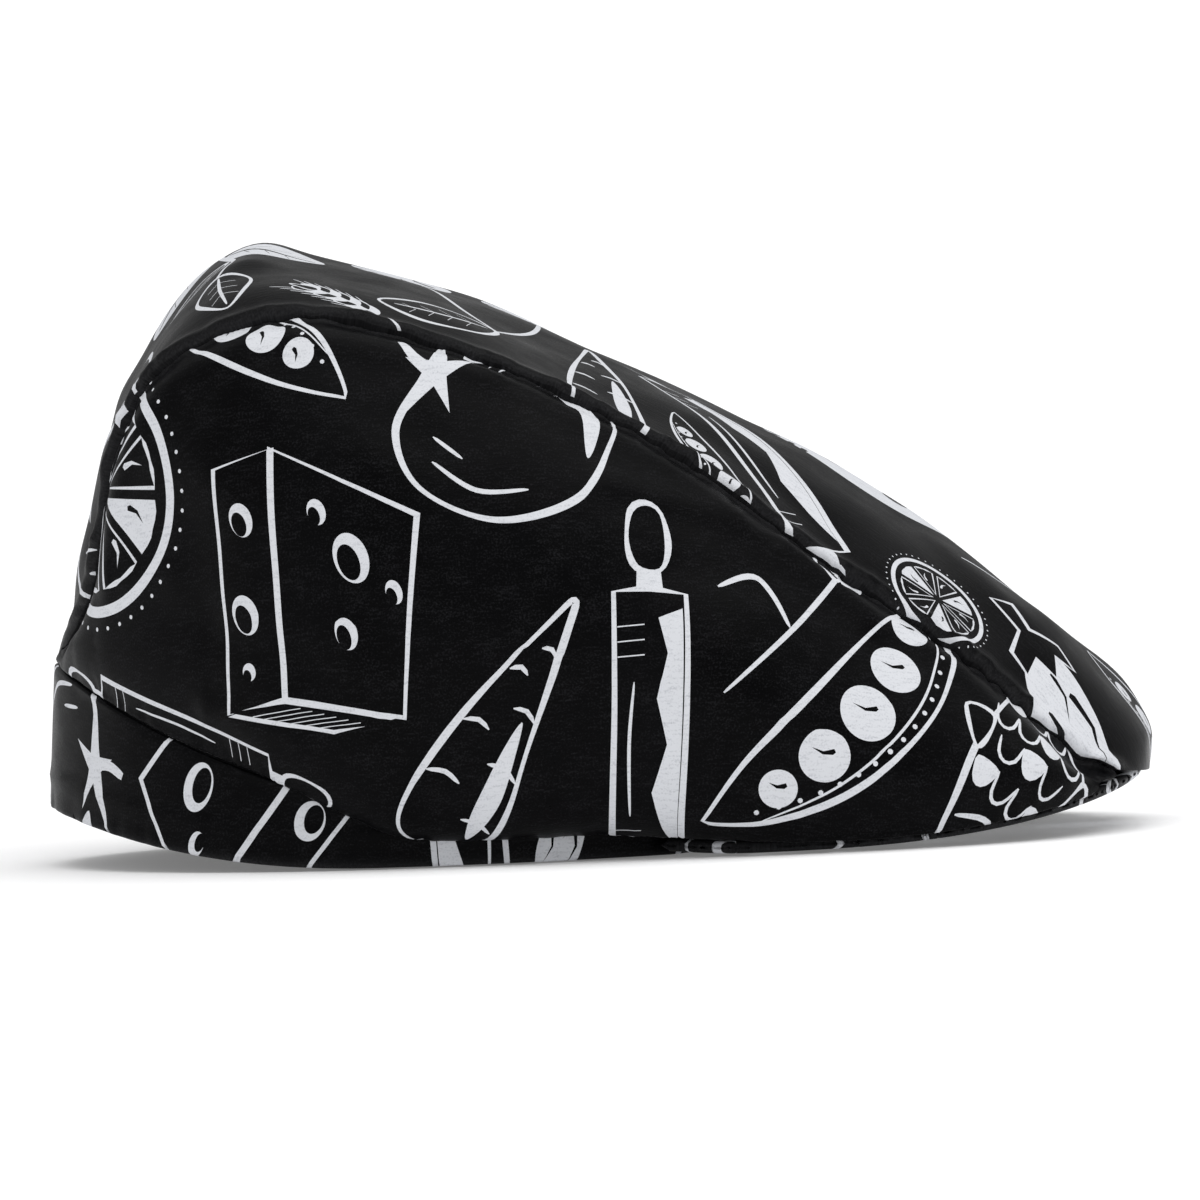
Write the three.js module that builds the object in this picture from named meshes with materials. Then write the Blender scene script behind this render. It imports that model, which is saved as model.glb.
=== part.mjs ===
// A printed cotton kitchen cap of the flat cap kind, in millimetres, +Z up, front towards +X.
//
// Five cut pieces are sewn together: a top panel that runs from the peak over the crown and tapers
// down the back, a side panel on each side, a band round the head that is tall behind and low at the
// temples, and a stiff crescent peak that hides under the front of the crown.
//
// The crown is one surface, sampled at stations from the front edge (0) to the back (1) and across
// from the middle line (0) over the seam (1) to the lower rim (2). Each panel is its stretch of that
// surface with a cloth wall, and neighbours keep a thin seam gap.

import * as THREE from "three";

// Head opening and band
const HEAD_LENGTH = 196; // inside the band, front to back
const HEAD_WIDTH = 162; // inside the band, side to side
const BAND_WALL = 1.8;
const BAND_BACK_HEIGHT = 34.4; // from the hem to the crown seam, at the back
const BAND_SIDE_HEIGHT = 13.4; // the same at the temples, behind the crown's belly
const BAND_FRONT_HEIGHT = 11; // above the peak's inner edge
const BAND_LEAN = 3.4; // how much further back the hem is than the seam
const HEM_BACK_LIFT = 13.8; // the hem's rise off the table at the back
const HEM_FRONT_LIFT = 8; // the same in front, where the peak joins

// Peak
const PEAK_REACH = 65.9; // from the band's front to the peak's tip
const PEAK_WIDTH = 170;
const PEAK_WALL = 3;
const PEAK_TIP_LIFT = 11.9; // the peak's underside above the table at the tip
const PEAK_ROOT_LIFT = 8.4; // the same where it joins the band
const PEAK_CORNER_SETBACK = 22; // how far the corners reach behind the widest line

// Crown
const CROWN_HEIGHT = 145.3;
const TOP_WIDTH = 136; // between the two seams, where the top panel is widest
const CROWN_WALL = 1.5;
const BELLY = 15.5; // how far the side panels stand out from the rim, at most
const RIM_SHOWS_PEAK = 2; // how much of the peak's edge shows below the crown
const SEAM_GAP = 0.3;

// Outer lengths that follow from those
const BAND_LENGTH = HEAD_LENGTH + 2 * BAND_WALL;
const BAND_HALF_WIDTH = HEAD_WIDTH / 2 + BAND_WALL;
const BAND_BACK_TOP = HEM_BACK_LIFT + BAND_BACK_HEIGHT;
const CROWN_LENGTH = BAND_LENGTH + PEAK_REACH;
const OPENING_X = BAND_LENGTH / 2; // middle of the head opening; the hem's back is at X = 0
const RIM_OFFSET = CROWN_WALL + SEAM_GAP; // from the peak's edge to the crown's outer face

// The peak's outline is half a superellipse about this line, as wide as the peak there
const PEAK_WAIST_X = CROWN_LENGTH * 0.637;
const PEAK_SQUARENESS = 2.4;
const PEAK_ARCH_POWER = 2.2;
const PEAK_CORNER_TAPER = 0.094; // of the half width, from the widest line to the corner

const degrees = (a) => (a * Math.PI) / 180;
const mix = (a, b, share) => a + (b - a) * share;
const clamp = (x, low, high) => Math.min(Math.max(x, low), high);
const ease = (x) => {
  const s = clamp(x, 0, 1);
  return s * s * (3 - 2 * s);
};

// Stations of the crown, front to back. x is a share of the way from the band's upper edge behind to
// the front, z of the way from the crown's foot to its top, and y of half the top panel's width. rim
// says where the side panel ends: an angle round the peak's outline, or round the band, in degrees.
// belly is a share of BELLY and waist of the way up from the rim. drop and arrive are the panel's
// slopes at the seam and the rim, in degrees below the horizontal and in from straight down.
const STATION_NAMES = "on crestX crestZ seamX seamY seamZ rim belly waist drop arrive".split(" ");
const STATION_ROWS = [
  ["peak", 1.003, 0.007, 0.9661, 0.504, 0.02, 33, 0.02, 0.5, 62, 20],
  ["peak", 1.001, 0.07, 0.9412, 0.559, 0.035, 40, 0.03, 0.5, 52, 16],
  ["peak", 0.9645, 0.159, 0.8947, 0.644, 0.096, 49, 0.05, 0.48, 44, 14],
  ["peak", 0.8997, 0.266, 0.8379, 0.751, 0.192, 61, 0.08, 0.42, 40, 12],
  ["peak", 0.8227, 0.386, 0.765, 0.859, 0.293, 75, 0.26, 0.4, 38, 18],
  ["peak", 0.7336, 0.506, 0.6819, 0.935, 0.419, 86, 0.52, 0.4, 36, 36],
  ["temple", 0.6313, 0.629, 0.5867, 0.975, 0.578, 57, 0.9, 0.4, 35, 62],
  ["band", 0.5168, 0.755, 0.4844, 1, 0.702, 71, 1.3, 0.4, 35, 80],
  ["band", 0.3953, 0.884, 0.376, 1, 0.806, 83, 1.1, 0.4, 35, 84],
  ["band", 0.294, 0.956, 0.2808, 0.98, 0.873, 95, 1.02, 0.4, 36, 74],
  ["band", 0.216, 0.994, 0.2079, 0.93, 0.877, 106, 0.84, 0.4, 40, 54],
  ["band", 0.1695, 0.982, 0.1471, 0.86, 0.827, 116, 0.6, 0.38, 48, 30],
  ["band", 0.126, 0.888, 0.1035, 0.785, 0.76, 125.5, 0.4, 0.36, 58, 12],
  ["band", 0.0865, 0.731, 0.0766, 0.71, 0.662, 134, 0.24, 0.34, 66, 2],
  ["band", 0.0565, 0.548, 0.0564, 0.64, 0.529, 142, 0.13, 0.32, 72, -4],
  ["band", 0.0352, 0.348, 0.0464, 0.56, 0.332, 150.5, 0.06, 0.3, 76, -8],
  ["band", 0.0182, 0.18, 0.0353, 0.42, 0.178, 160, 0.02, 0.3, 80, -8],
  ["band", 0.0023, 0.006, 0.0058, 0.13, 0.035, 178.8, 0, 0.3, 82, -8],
];
const STATIONS = STATION_ROWS.map((row) =>
  Object.fromEntries(row.map((value, i) => [STATION_NAMES[i], value])),
);

// Soft dents (minus) and puffs (plus) of the cloth. at and reach are station shares, across is in
// panel widths from the middle line, and lift is a share of BELLY. side 0 is both sides.
const FOLDS = [
  { at: 0.055, reach: 0.035, across: 1.35, span: 0.28, lift: -0.1, side: 0 }, // tuck beside the peak's seam
  { at: 0.5, reach: 0.16, across: 1.13, span: 0.1, lift: 0.07, side: 0 }, // puff under the top seam
  { at: 0.58, reach: 0.05, across: 1.62, span: 0.12, lift: -0.08, side: -1 }, // slack crease over the belly
  { at: 0.53, reach: 0.06, across: 1.6, span: 0.14, lift: -0.07, side: 1 }, // the other side's crease
];

// Mesh steps
const STATION_STEPS = 42;
const TOP_STEPS = 6; // from the middle line to the seam
const SIDE_STEPS = 13; // from the seam to the rim
const BAND_STEPS = 72;
const BAND_ROWS = 3;
const PEAK_STEPS = 28;
const PEAK_ROWS = 5;

// A smooth value through a column of the station table, at a share of the way back
function column(name, share) {
  const place = clamp(share, 0, 1) * (STATIONS.length - 1);
  const i = Math.min(Math.floor(place), STATIONS.length - 2);
  const value = (k) => STATIONS[clamp(k, 0, STATIONS.length - 1)][name];
  const [a, b, c, d] = [value(i - 1), value(i), value(i + 1), value(i + 2)];
  const u = place - i;
  const bend = 2 * a - 5 * b + 4 * c - d + (3 * (b - c) + d - a) * u;
  return b + 0.5 * u * (c - a + u * bend);
}

// Height of the hem at an angle round the band, 0 at the front
function hemZ(angle) {
  const c = Math.cos(angle);
  const back = clamp((-c - 0.19) / 0.81, 0, 1) ** 2.2;
  const front = clamp((c - 0.5) / 0.5, 0, 1) ** 1.5;
  return HEM_BACK_LIFT * back + HEM_FRONT_LIFT * front;
}

// Height of the band's upper edge. Behind, it falls steadily from the seam to the temples.
function bandTopZ(angle) {
  const c = Math.cos(angle);
  const fall = clamp((-c - 0.16) / 0.84, 0, 1);
  const behind = mix(BAND_SIDE_HEIGHT, BAND_BACK_TOP, mix(fall, fall ** 2.6, 0.38));
  const raised = HEM_FRONT_LIFT + BAND_FRONT_HEIGHT - BAND_SIDE_HEIGHT;
  return behind + raised * ease((c - 0.45) / 0.5);
}

// A point of the band's outer face, moved out by a distance
function bandFace(angle, z, out = 0) {
  const lean = Math.cos(angle) < 0 ? BAND_LEAN * clamp(z / BAND_BACK_TOP, 0, 1) : 0;
  const halfLength = BAND_LENGTH / 2 - lean;
  const normal = new THREE.Vector3(
    Math.cos(angle) / halfLength,
    Math.sin(angle) / BAND_HALF_WIDTH,
    0,
  ).normalize();
  return new THREE.Vector3(
    OPENING_X + halfLength * Math.cos(angle),
    BAND_HALF_WIDTH * Math.sin(angle),
    z,
  ).addScaledVector(normal, out);
}

// The peak's outline at an angle, 0 at the tip and 90 at its widest, and on to the corner
function peakOutline(angle, out = 0) {
  const half = PEAK_WIDTH / 2;
  const reach = CROWN_LENGTH - RIM_OFFSET - PEAK_WAIST_X;
  const at = (a) => {
    if (a <= Math.PI / 2) {
      const c = Math.max(Math.cos(a), 0) ** (2 / PEAK_SQUARENESS);
      const s = Math.sin(a) ** (2 / PEAK_SQUARENESS);
      return new THREE.Vector3(PEAK_WAIST_X + reach * c, half * s, 0);
    }
    const past = (a - Math.PI / 2) / degrees(24);
    return new THREE.Vector3(
      PEAK_WAIST_X - PEAK_CORNER_SETBACK * past,
      half * (1 - PEAK_CORNER_TAPER * past * past),
      0,
    );
  };
  const step = 1e-3;
  const size = Math.abs(angle);
  const here = at(size);
  const along = at(size + step).sub(at(Math.max(size - step, 0)));
  const normal = size < step ? new THREE.Vector3(1, 0, 0) : new THREE.Vector3(along.y, -along.x, 0);
  here.addScaledVector(normal.normalize(), out);
  return new THREE.Vector3(here.x, Math.sign(angle) * here.y, 0);
}

// Height of the peak's underside: arched across, so its sides come down to the table
function peakUnderZ(x, y) {
  const root = BAND_LENGTH;
  const middle = mix(PEAK_ROOT_LIFT, PEAK_TIP_LIFT, (x - root) / PEAK_REACH);
  const across = clamp(Math.abs(y) / (PEAK_WIDTH / 2), 0, 1);
  return Math.max(middle, 0) * (1 - across ** PEAK_ARCH_POWER);
}

// The crown's lower rim on its left side, at a share of the way back, with the way out from the cap
function rim(share) {
  const place = share * (STATIONS.length - 1);
  const firstOnBand = STATIONS.findIndex((s) => s.on === "band");
  const lastOnPeak = firstOnBand - 2;
  const arrive = degrees(column("arrive", share));
  const angleAt = (k, last) => {
    const before = Math.floor(k);
    return degrees(mix(STATIONS[before].rim, STATIONS[Math.min(before + 1, last)].rim, k % 1));
  };
  const onPeak = (k) => {
    const angle = angleAt(k, lastOnPeak);
    const p = peakOutline(angle, RIM_OFFSET);
    p.z = peakUnderZ(p.x, p.y) + RIM_SHOWS_PEAK;
    return p;
  };
  const onBand = (k) => {
    const angle = angleAt(k, STATIONS.length - 1);
    const level = bandTopZ(angle) + SEAM_GAP;
    const low = clamp((degrees(122) - angle) / degrees(32), 0, 1);
    const hang = mix(0, BAND_SIDE_HEIGHT * 0.6, ease(low));
    const lap = ease((degrees(126) - angle) / degrees(12));
    const clear = SEAM_GAP + CROWN_WALL * Math.max(Math.cos(arrive), 0);
    return bandFace(angle, level - hang + CROWN_WALL * Math.max(-Math.sin(arrive), 0), lap * clear);
  };
  let point;
  if (place <= lastOnPeak) point = onPeak(place);
  else if (place >= firstOnBand) point = onBand(place);
  else {
    const from = onPeak(lastOnPeak);
    const to = onBand(firstOnBand);
    const u = (place - lastOnPeak) / (firstOnBand - lastOnPeak);
    point = from.clone().lerp(to, u);
    point.y += 3.2 * Math.sin(Math.PI * u) * (1 - u); // round the peak's corner
  }
  return point;
}

// The horizontal way out of the cap at a point of its left side
function wayOut(point) {
  const middle = mix(OPENING_X, PEAK_WAIST_X, ease((point.x - OPENING_X) / (CROWN_LENGTH - OPENING_X)));
  const halfLength = point.x > middle ? CROWN_LENGTH - middle : middle;
  return new THREE.Vector3(
    (point.x - middle) / halfLength ** 2,
    point.y / (PEAK_WIDTH / 2) ** 2,
    0,
  ).normalize();
}

const UP = new THREE.Vector3(0, 0, 1);

// The last stations narrow to a point behind, where the rows turn straight
const tailTaper = (share) => ease((share - 0.9) / 0.1);

// At the rim: the way back up the side panel, and the way out of its face
function rimFrame(share, out) {
  const arrive = degrees(column("arrive", share)) * (1 - tailTaper(share));
  const both = (outwards, upwards) =>
    out.clone().multiplyScalar(outwards).addScaledVector(UP, upwards);
  return {
    wayUp: both(Math.sin(arrive), Math.cos(arrive)),
    face: both(Math.cos(arrive), -Math.sin(arrive)),
  };
}

function cubic(a, b, c, d, u) {
  const v = 1 - u;
  return new THREE.Vector3()
    .addScaledVector(a, v * v * v)
    .addScaledVector(b, 3 * v * v * u)
    .addScaledVector(c, 3 * v * u * u)
    .addScaledVector(d, u * u * u);
}

// The crown's foot rises from the peak's tip to the band's upper edge behind
const crownZ = (share, rise) => mix(mix(PEAK_TIP_LIFT, BAND_BACK_TOP + SEAM_GAP, share), CROWN_HEIGHT, rise);
const crownX = (way) => mix(BAND_LEAN, CROWN_LENGTH, way);

// The seam between the top panel and the left side panel. In front it keeps to the peak's width.
function seam(share) {
  const halfWidth = mix(PEAK_WIDTH / 2, TOP_WIDTH / 2, ease(share / 0.3));
  return new THREE.Vector3(
    crownX(column("seamX", share)),
    halfWidth * column("seamY", share),
    crownZ(share, column("seamZ", share)),
  );
}

// A point of the undented crown, left side: across is 0 at the middle line, 1 at the seam, 2 at the rim
function smoothCrown(share, across) {
  const edge = seam(share);
  if (across <= 1) {
    const crestX = crownX(column("crestX", share));
    const crestZ = crownZ(share, column("crestZ", share));
    const rise = across ** mix(2.2, 1, tailTaper(share));
    const arch = new THREE.Vector3(
      mix(crestX, edge.x, rise),
      edge.y * across,
      mix(crestZ, edge.z, rise),
    );
    // The front edge follows the peak's outline
    const front = (1 - clamp(share / 0.07, 0, 1)) ** 2;
    if (front > 0) {
      const target = Math.abs(arch.y);
      let low = 0;
      let high = degrees(60);
      for (let i = 0; i < 40; i++) {
        const middle = (low + high) / 2;
        if (peakOutline(middle, RIM_OFFSET).y < target) low = middle;
        else high = middle;
      }
      arch.x = mix(arch.x, peakOutline(low, RIM_OFFSET).x, front);
    }
    return arch;
  }
  const end = rim(share);
  const out = wayOut(edge.clone().lerp(end, 0.5));
  const drop = degrees(column("drop", share));
  const waistUp = column("waist", share);
  const height = edge.z - end.z;
  const waist = end
    .clone()
    .addScaledVector(out, BELLY * column("belly", share))
    .addScaledVector(UP, height * waistUp);
  const pull = 0.5 * edge.distanceTo(waist);
  const sag = height * waistUp;
  const downOut = out.clone().multiplyScalar(Math.cos(drop)).addScaledVector(UP, -Math.sin(drop));
  const { wayUp } = rimFrame(share, out);
  // The lean of the panel at its waist follows the line from the seam to the rim, once the belly is small
  const slack = clamp(column("belly", share) * 2, 0, 1);
  const lean = end.clone().sub(edge).normalize().lerp(UP.clone().negate(), slack).normalize();
  const u = across - 1;
  const turn = 1 - waistUp * 0.8;
  const settle = (p) => p.lerp(edge.clone().lerp(end, u), tailTaper(share));
  if (u < turn) {
    return settle(cubic(
      edge,
      edge.clone().addScaledVector(downOut, pull * 0.62),
      waist.clone().addScaledVector(lean, -pull * 0.66),
      waist,
      u / turn,
    ));
  }
  return settle(cubic(
    waist,
    waist.clone().addScaledVector(lean, sag * 0.55),
    end.clone().addScaledVector(wayUp, sag * mix(0.3, 0.22, slack)),
    end,
    (u - turn) / (1 - turn),
  ));
}

// How far the cloth is dented or puffed at a place; side is 1 on the left and -1 on the right
function foldLift(share, across, side) {
  let lift = 0;
  for (const f of FOLDS) {
    if (f.side && f.side !== side) continue;
    const a = (share - f.at) / f.reach;
    const b = (across - f.across) / f.span;
    lift += BELLY * f.lift * Math.exp(-a * a - b * b);
  }
  return lift;
}

// Normals of a grid of points, from the faces round each one
function gridNormals(rows) {
  const tall = rows.length;
  const wide = rows[0].length;
  return rows.map((row, i) =>
    row.map((_, j) => {
      const along = rows[Math.min(i + 1, tall - 1)][j].clone().sub(rows[Math.max(i - 1, 0)][j]);
      const across = row[Math.min(j + 1, wide - 1)].clone().sub(row[Math.max(j - 1, 0)]);
      return along.cross(across).normalize();
    }),
  );
}

// The whole crown as a grid: rows are stations, columns run from the left rim over the top to the right
function crownGrid() {
  const places = [];
  for (let j = SIDE_STEPS; j > 0; j--) places.push({ across: 1 + j / SIDE_STEPS, side: 1 });
  for (let j = TOP_STEPS; j > 0; j--) places.push({ across: j / TOP_STEPS, side: 1 });
  places.push({ across: 0, side: 1 });
  for (let j = 1; j <= TOP_STEPS; j++) places.push({ across: j / TOP_STEPS, side: -1 });
  for (let j = 1; j <= SIDE_STEPS; j++) places.push({ across: 1 + j / SIDE_STEPS, side: -1 });
  const shares = Array.from({ length: STATION_STEPS + 1 }, (_, i) => i / STATION_STEPS);
  const smooth = shares.map((share) =>
    places.map(({ across, side }) => {
      const p = smoothCrown(share, across);
      return new THREE.Vector3(p.x, side * p.y, p.z);
    }),
  );
  const normals = gridNormals(smooth);
  const outer = smooth.map((row, i) =>
    row.map((p, j) => {
      const { across, side } = places[j];
      const fade = ease((2 - across) / 0.12) * ease(shares[i] / 0.03) * ease((1 - shares[i]) / 0.05);
      return p.clone().addScaledVector(normals[i][j], foldLift(shares[i], across, side) * fade);
    }),
  );
  const outerNormals = gridNormals(outer);
  const inner = outer.map((row, i) =>
    row.map((p, j) => {
      const { across, side } = places[j];
      const level = wayOut(new THREE.Vector3(p.x, side * p.y, p.z));
      const way = across === 2 ? rimFrame(shares[i], level).face : level;
      way.y *= side;
      const steady = across === 2 ? 1 : tailTaper(shares[i]);
      const normal = outerNormals[i][j].lerp(way, steady).normalize();
      return p.clone().addScaledVector(normal, -CROWN_WALL);
    }),
  );
  return { outer, inner };
}

// A closed solid between an outer and an inner grid of points
function shell(outer, inner, closedRound = false) {
  const tall = outer.length;
  const wide = outer[0].length;
  const positions = [];
  for (const p of [...outer, ...inner].flat()) positions.push(p.x, p.y, p.z);
  const at = (layer, i, j) => layer * tall * wide + (i % tall) * wide + j;
  const faces = [];
  const quad = (a, b, c, d) => faces.push(a, b, c, a, c, d);
  const rows = closedRound ? tall : tall - 1;
  for (let i = 0; i < rows; i++) {
    for (let j = 0; j < wide - 1; j++) {
      quad(at(0, i, j), at(0, i + 1, j), at(0, i + 1, j + 1), at(0, i, j + 1));
      quad(at(1, i, j), at(1, i, j + 1), at(1, i + 1, j + 1), at(1, i + 1, j));
    }
    quad(at(0, i, 0), at(1, i, 0), at(1, i + 1, 0), at(0, i + 1, 0));
    quad(at(0, i, wide - 1), at(0, i + 1, wide - 1), at(1, i + 1, wide - 1), at(1, i, wide - 1));
  }
  if (!closedRound) {
    for (let j = 0; j < wide - 1; j++) {
      quad(at(0, 0, j), at(0, 0, j + 1), at(1, 0, j + 1), at(1, 0, j));
      quad(at(0, tall - 1, j), at(1, tall - 1, j), at(1, tall - 1, j + 1), at(0, tall - 1, j + 1));
    }
  }
  const geometry = new THREE.BufferGeometry();
  geometry.setAttribute("position", new THREE.Float32BufferAttribute(positions, 3));
  geometry.setIndex(faces);
  geometry.computeVertexNormals();
  return geometry;
}

// Columns from..to of a grid, its outer columns drawn in by half a seam gap where they meet a
// neighbour, square to the seam
function panel(grid, from, to, trimFirst, trimLast) {
  const drawIn = (i, j, towards) => {
    const edge = grid[i][j];
    const before = grid[Math.max(i - 1, 0)][j];
    const after = grid[Math.min(i + 1, grid.length - 1)][j];
    const along = after.clone().sub(before).normalize();
    const way = grid[i][towards].clone().sub(edge);
    way.addScaledVector(along, -way.dot(along)).normalize();
    return edge.clone().addScaledVector(way, SEAM_GAP / 2);
  };
  return grid.map((row, i) => {
    const cut = row.slice(from, to + 1).map((p) => p.clone());
    if (trimFirst) cut[0] = drawIn(i, from, from + 1);
    if (trimLast) cut[cut.length - 1] = drawIn(i, to, to - 1);
    return cut;
  });
}

function crownPanels() {
  const { outer, inner } = crownGrid();
  const leftSeam = SIDE_STEPS;
  const rightSeam = SIDE_STEPS + 2 * TOP_STEPS;
  const lastColumn = 2 * (SIDE_STEPS + TOP_STEPS);
  const make = (from, to, trimFirst, trimLast) =>
    shell(panel(outer, from, to, trimFirst, trimLast), panel(inner, from, to, trimFirst, trimLast));
  return {
    left: make(0, leftSeam, false, true),
    top: make(leftSeam, rightSeam, true, true),
    right: make(rightSeam, lastColumn, true, false),
  };
}

// The band: a ring whose rows run round the head and whose columns climb from the hem to the top
function bandRing() {
  const ring = (out) =>
    Array.from({ length: BAND_STEPS }, (_, i) => {
      const angle = (2 * Math.PI * i) / BAND_STEPS;
      return Array.from({ length: BAND_ROWS + 1 }, (_, j) => {
        const z = mix(hemZ(angle), bandTopZ(angle), j / BAND_ROWS);
        return bandFace(angle, z, out);
      });
    });
  return shell(ring(0), ring(-BAND_WALL), true);
}

// The peak: a crescent plate from the band's face out to the outline
function peakPlate() {
  const cornerX = PEAK_WAIST_X - PEAK_CORNER_SETBACK;
  const cornerAngle = Math.acos(clamp((cornerX - OPENING_X) / (BAND_LENGTH / 2), -1, 1));
  const face = (z) =>
    Array.from({ length: PEAK_STEPS + 1 }, (_, i) => {
      const turn = (2 * i) / PEAK_STEPS - 1;
      const root = bandFace(cornerAngle * turn, 0, SEAM_GAP);
      const edge = peakOutline(degrees(114) * turn);
      return Array.from({ length: PEAK_ROWS + 1 }, (_, j) => {
        const p = root.clone().lerp(edge, j / PEAK_ROWS);
        return new THREE.Vector3(p.x, p.y, peakUnderZ(p.x, p.y) + z);
      });
    });
  return shell(face(0), face(PEAK_WALL));
}

// Materials: black printed cotton, the band in the same cloth, and the peak's covered edge
const cottonColour = 0x17171a;
const bandColour = 0x141417;
const peakColour = 0x1b1b1e;

function piece(name, geometry, color, roughness) {
  const material = new THREE.MeshStandardMaterial({ color, roughness, metalness: 0 });
  const mesh = new THREE.Mesh(geometry, material);
  mesh.name = name;
  return mesh;
}

const panels = crownPanels();
const cap = new THREE.Group();
cap.add(
  piece("crown_top", panels.top, cottonColour, 0.7),
  piece("crown_side_left", panels.left, cottonColour, 0.7),
  piece("crown_side_right", panels.right, cottonColour, 0.7),
  piece("band", bandRing(), bandColour, 0.75),
  piece("peak", peakPlate(), peakColour, 0.65),
);

// The origin is under the middle of the cap, on the table that it stands on
const bounds = new THREE.Box3().setFromObject(cap, true);
const middle = bounds.getCenter(new THREE.Vector3());
cap.position.set(-middle.x, -middle.y, -bounds.min.z);

export default cap;
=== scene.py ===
# %% [markdown]
# # A printed kitchen cap, dressed in Blender
# The object is a flat cap of black cotton with white kitchen doodles. Five cut pieces make it: a long
# top panel, two side panels, a band round the head, and a stiff peak hidden under the front. The solids
# come in as a fixed frame. This script gives each one its cloth: the same shape with folds, puckered
# seams and rolled edges, a printed pattern, a weave and a finish.

# %% The frame
import math
import bpy
import numpy as np
from mathutils import Matrix, Vector
from mathutils.bvhtree import BVHTree
from mathutils.geometry import convex_hull_2d, delaunay_2d_cdt


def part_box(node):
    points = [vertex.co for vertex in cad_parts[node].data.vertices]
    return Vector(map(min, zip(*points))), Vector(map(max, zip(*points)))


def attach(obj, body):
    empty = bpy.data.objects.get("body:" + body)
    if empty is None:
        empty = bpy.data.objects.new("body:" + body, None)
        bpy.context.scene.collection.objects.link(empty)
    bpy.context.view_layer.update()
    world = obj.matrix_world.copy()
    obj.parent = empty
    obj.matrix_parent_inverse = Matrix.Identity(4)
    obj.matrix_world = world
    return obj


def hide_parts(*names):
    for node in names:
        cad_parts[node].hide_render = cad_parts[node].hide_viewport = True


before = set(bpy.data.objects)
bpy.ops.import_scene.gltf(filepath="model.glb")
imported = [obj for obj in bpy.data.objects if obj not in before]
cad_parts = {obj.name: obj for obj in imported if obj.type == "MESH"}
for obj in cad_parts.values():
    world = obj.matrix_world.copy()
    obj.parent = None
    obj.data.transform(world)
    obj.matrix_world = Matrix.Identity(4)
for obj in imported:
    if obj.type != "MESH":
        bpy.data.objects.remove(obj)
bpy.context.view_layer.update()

# %% [markdown]
# ## Camera
# The photograph looks at the cap's right side from a little above, with the front to the right, through
# a long lens: near and far edges of the hem lie almost in line. The cap was a little turned in the
# picture, so the camera is rolled by that angle.

# %% Camera
VIEW_WIDTH = 0.2886  # metres across the picture at the cap
VIEW_AIM = Vector((0.0014, 0.0, 0.0582))
VIEW_DISTANCE = 7.0
VIEW_LIFT = math.radians(2.5)
VIEW_ROLL = math.radians(2.267)
SENSOR = 36.0  # mm


def add_camera():
    data = bpy.data.cameras.new("camera")
    camera = bpy.data.objects.new("camera", data)
    bpy.context.scene.collection.objects.link(camera)
    data.sensor_width = SENSOR
    data.sensor_fit = "HORIZONTAL"
    data.lens = SENSOR * VIEW_DISTANCE / VIEW_WIDTH
    data.clip_start, data.clip_end = 0.1, 100.0
    away = Vector((0, -math.cos(VIEW_LIFT), math.sin(VIEW_LIFT)))
    level_up = Vector((0, math.sin(VIEW_LIFT), math.cos(VIEW_LIFT)))
    right = math.cos(VIEW_ROLL) * Vector((1, 0, 0)) - math.sin(VIEW_ROLL) * level_up
    up = away.cross(right)
    turned = Matrix((right, up, away)).transposed().to_4x4()
    camera.matrix_world = Matrix.Translation(VIEW_AIM + away * VIEW_DISTANCE) @ turned
    bpy.context.scene.camera = camera
    return camera


print("camera lens", round(add_camera().data.lens, 1), "mm")

# %% [markdown]
# ## Sizes
# The cloth follows the same surface as the solids, so the sizes and the table of stations are those of
# the part's source, in millimetres. One number brings the finished points to metres.

# %% Sizes of the cap
MM = 0.001
HEAD_LENGTH, HEAD_WIDTH = 196.0, 162.0
BAND_WALL, BAND_BACK_HEIGHT, BAND_SIDE_HEIGHT, BAND_FRONT_HEIGHT = 1.8, 34.4, 13.4, 11.0
BAND_LEAN, HEM_BACK_LIFT, HEM_FRONT_LIFT = 3.4, 13.8, 8.0
PEAK_REACH, PEAK_WIDTH, PEAK_WALL = 65.9, 170.0, 3.0
PEAK_TIP_LIFT, PEAK_ROOT_LIFT, PEAK_CORNER_SETBACK = 11.9, 8.4, 22.0
CROWN_HEIGHT, TOP_WIDTH, CROWN_WALL, BELLY = 145.3, 136.0, 1.5, 15.5
RIM_SHOWS_PEAK, SEAM_GAP = 2.0, 0.3

BAND_LENGTH = HEAD_LENGTH + 2 * BAND_WALL
BAND_HALF_WIDTH = HEAD_WIDTH / 2 + BAND_WALL
BAND_BACK_TOP = HEM_BACK_LIFT + BAND_BACK_HEIGHT
CROWN_LENGTH = BAND_LENGTH + PEAK_REACH
OPENING_X = BAND_LENGTH / 2
RIM_OFFSET = CROWN_WALL + SEAM_GAP
PEAK_WAIST_X = CROWN_LENGTH * 0.637
PEAK_SQUARENESS, PEAK_ARCH_POWER, PEAK_CORNER_TAPER = 2.4, 2.2, 0.094
PEAK_HALF_TURN = math.radians(114)  # from the tip to a corner

# The source's own origin is at the hem's back; the solids stand over the middle of their box.
peak_low, peak_high = (np.array(corner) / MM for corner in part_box("peak"))
band_low = np.array(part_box("band")[0]) / MM
SHIFT = np.array([peak_high[0] - (CROWN_LENGTH - RIM_OFFSET), (peak_low[1] + peak_high[1]) / 2, band_low[2]])
print("shift of the source's origin, mm:", SHIFT.round(3))

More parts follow.
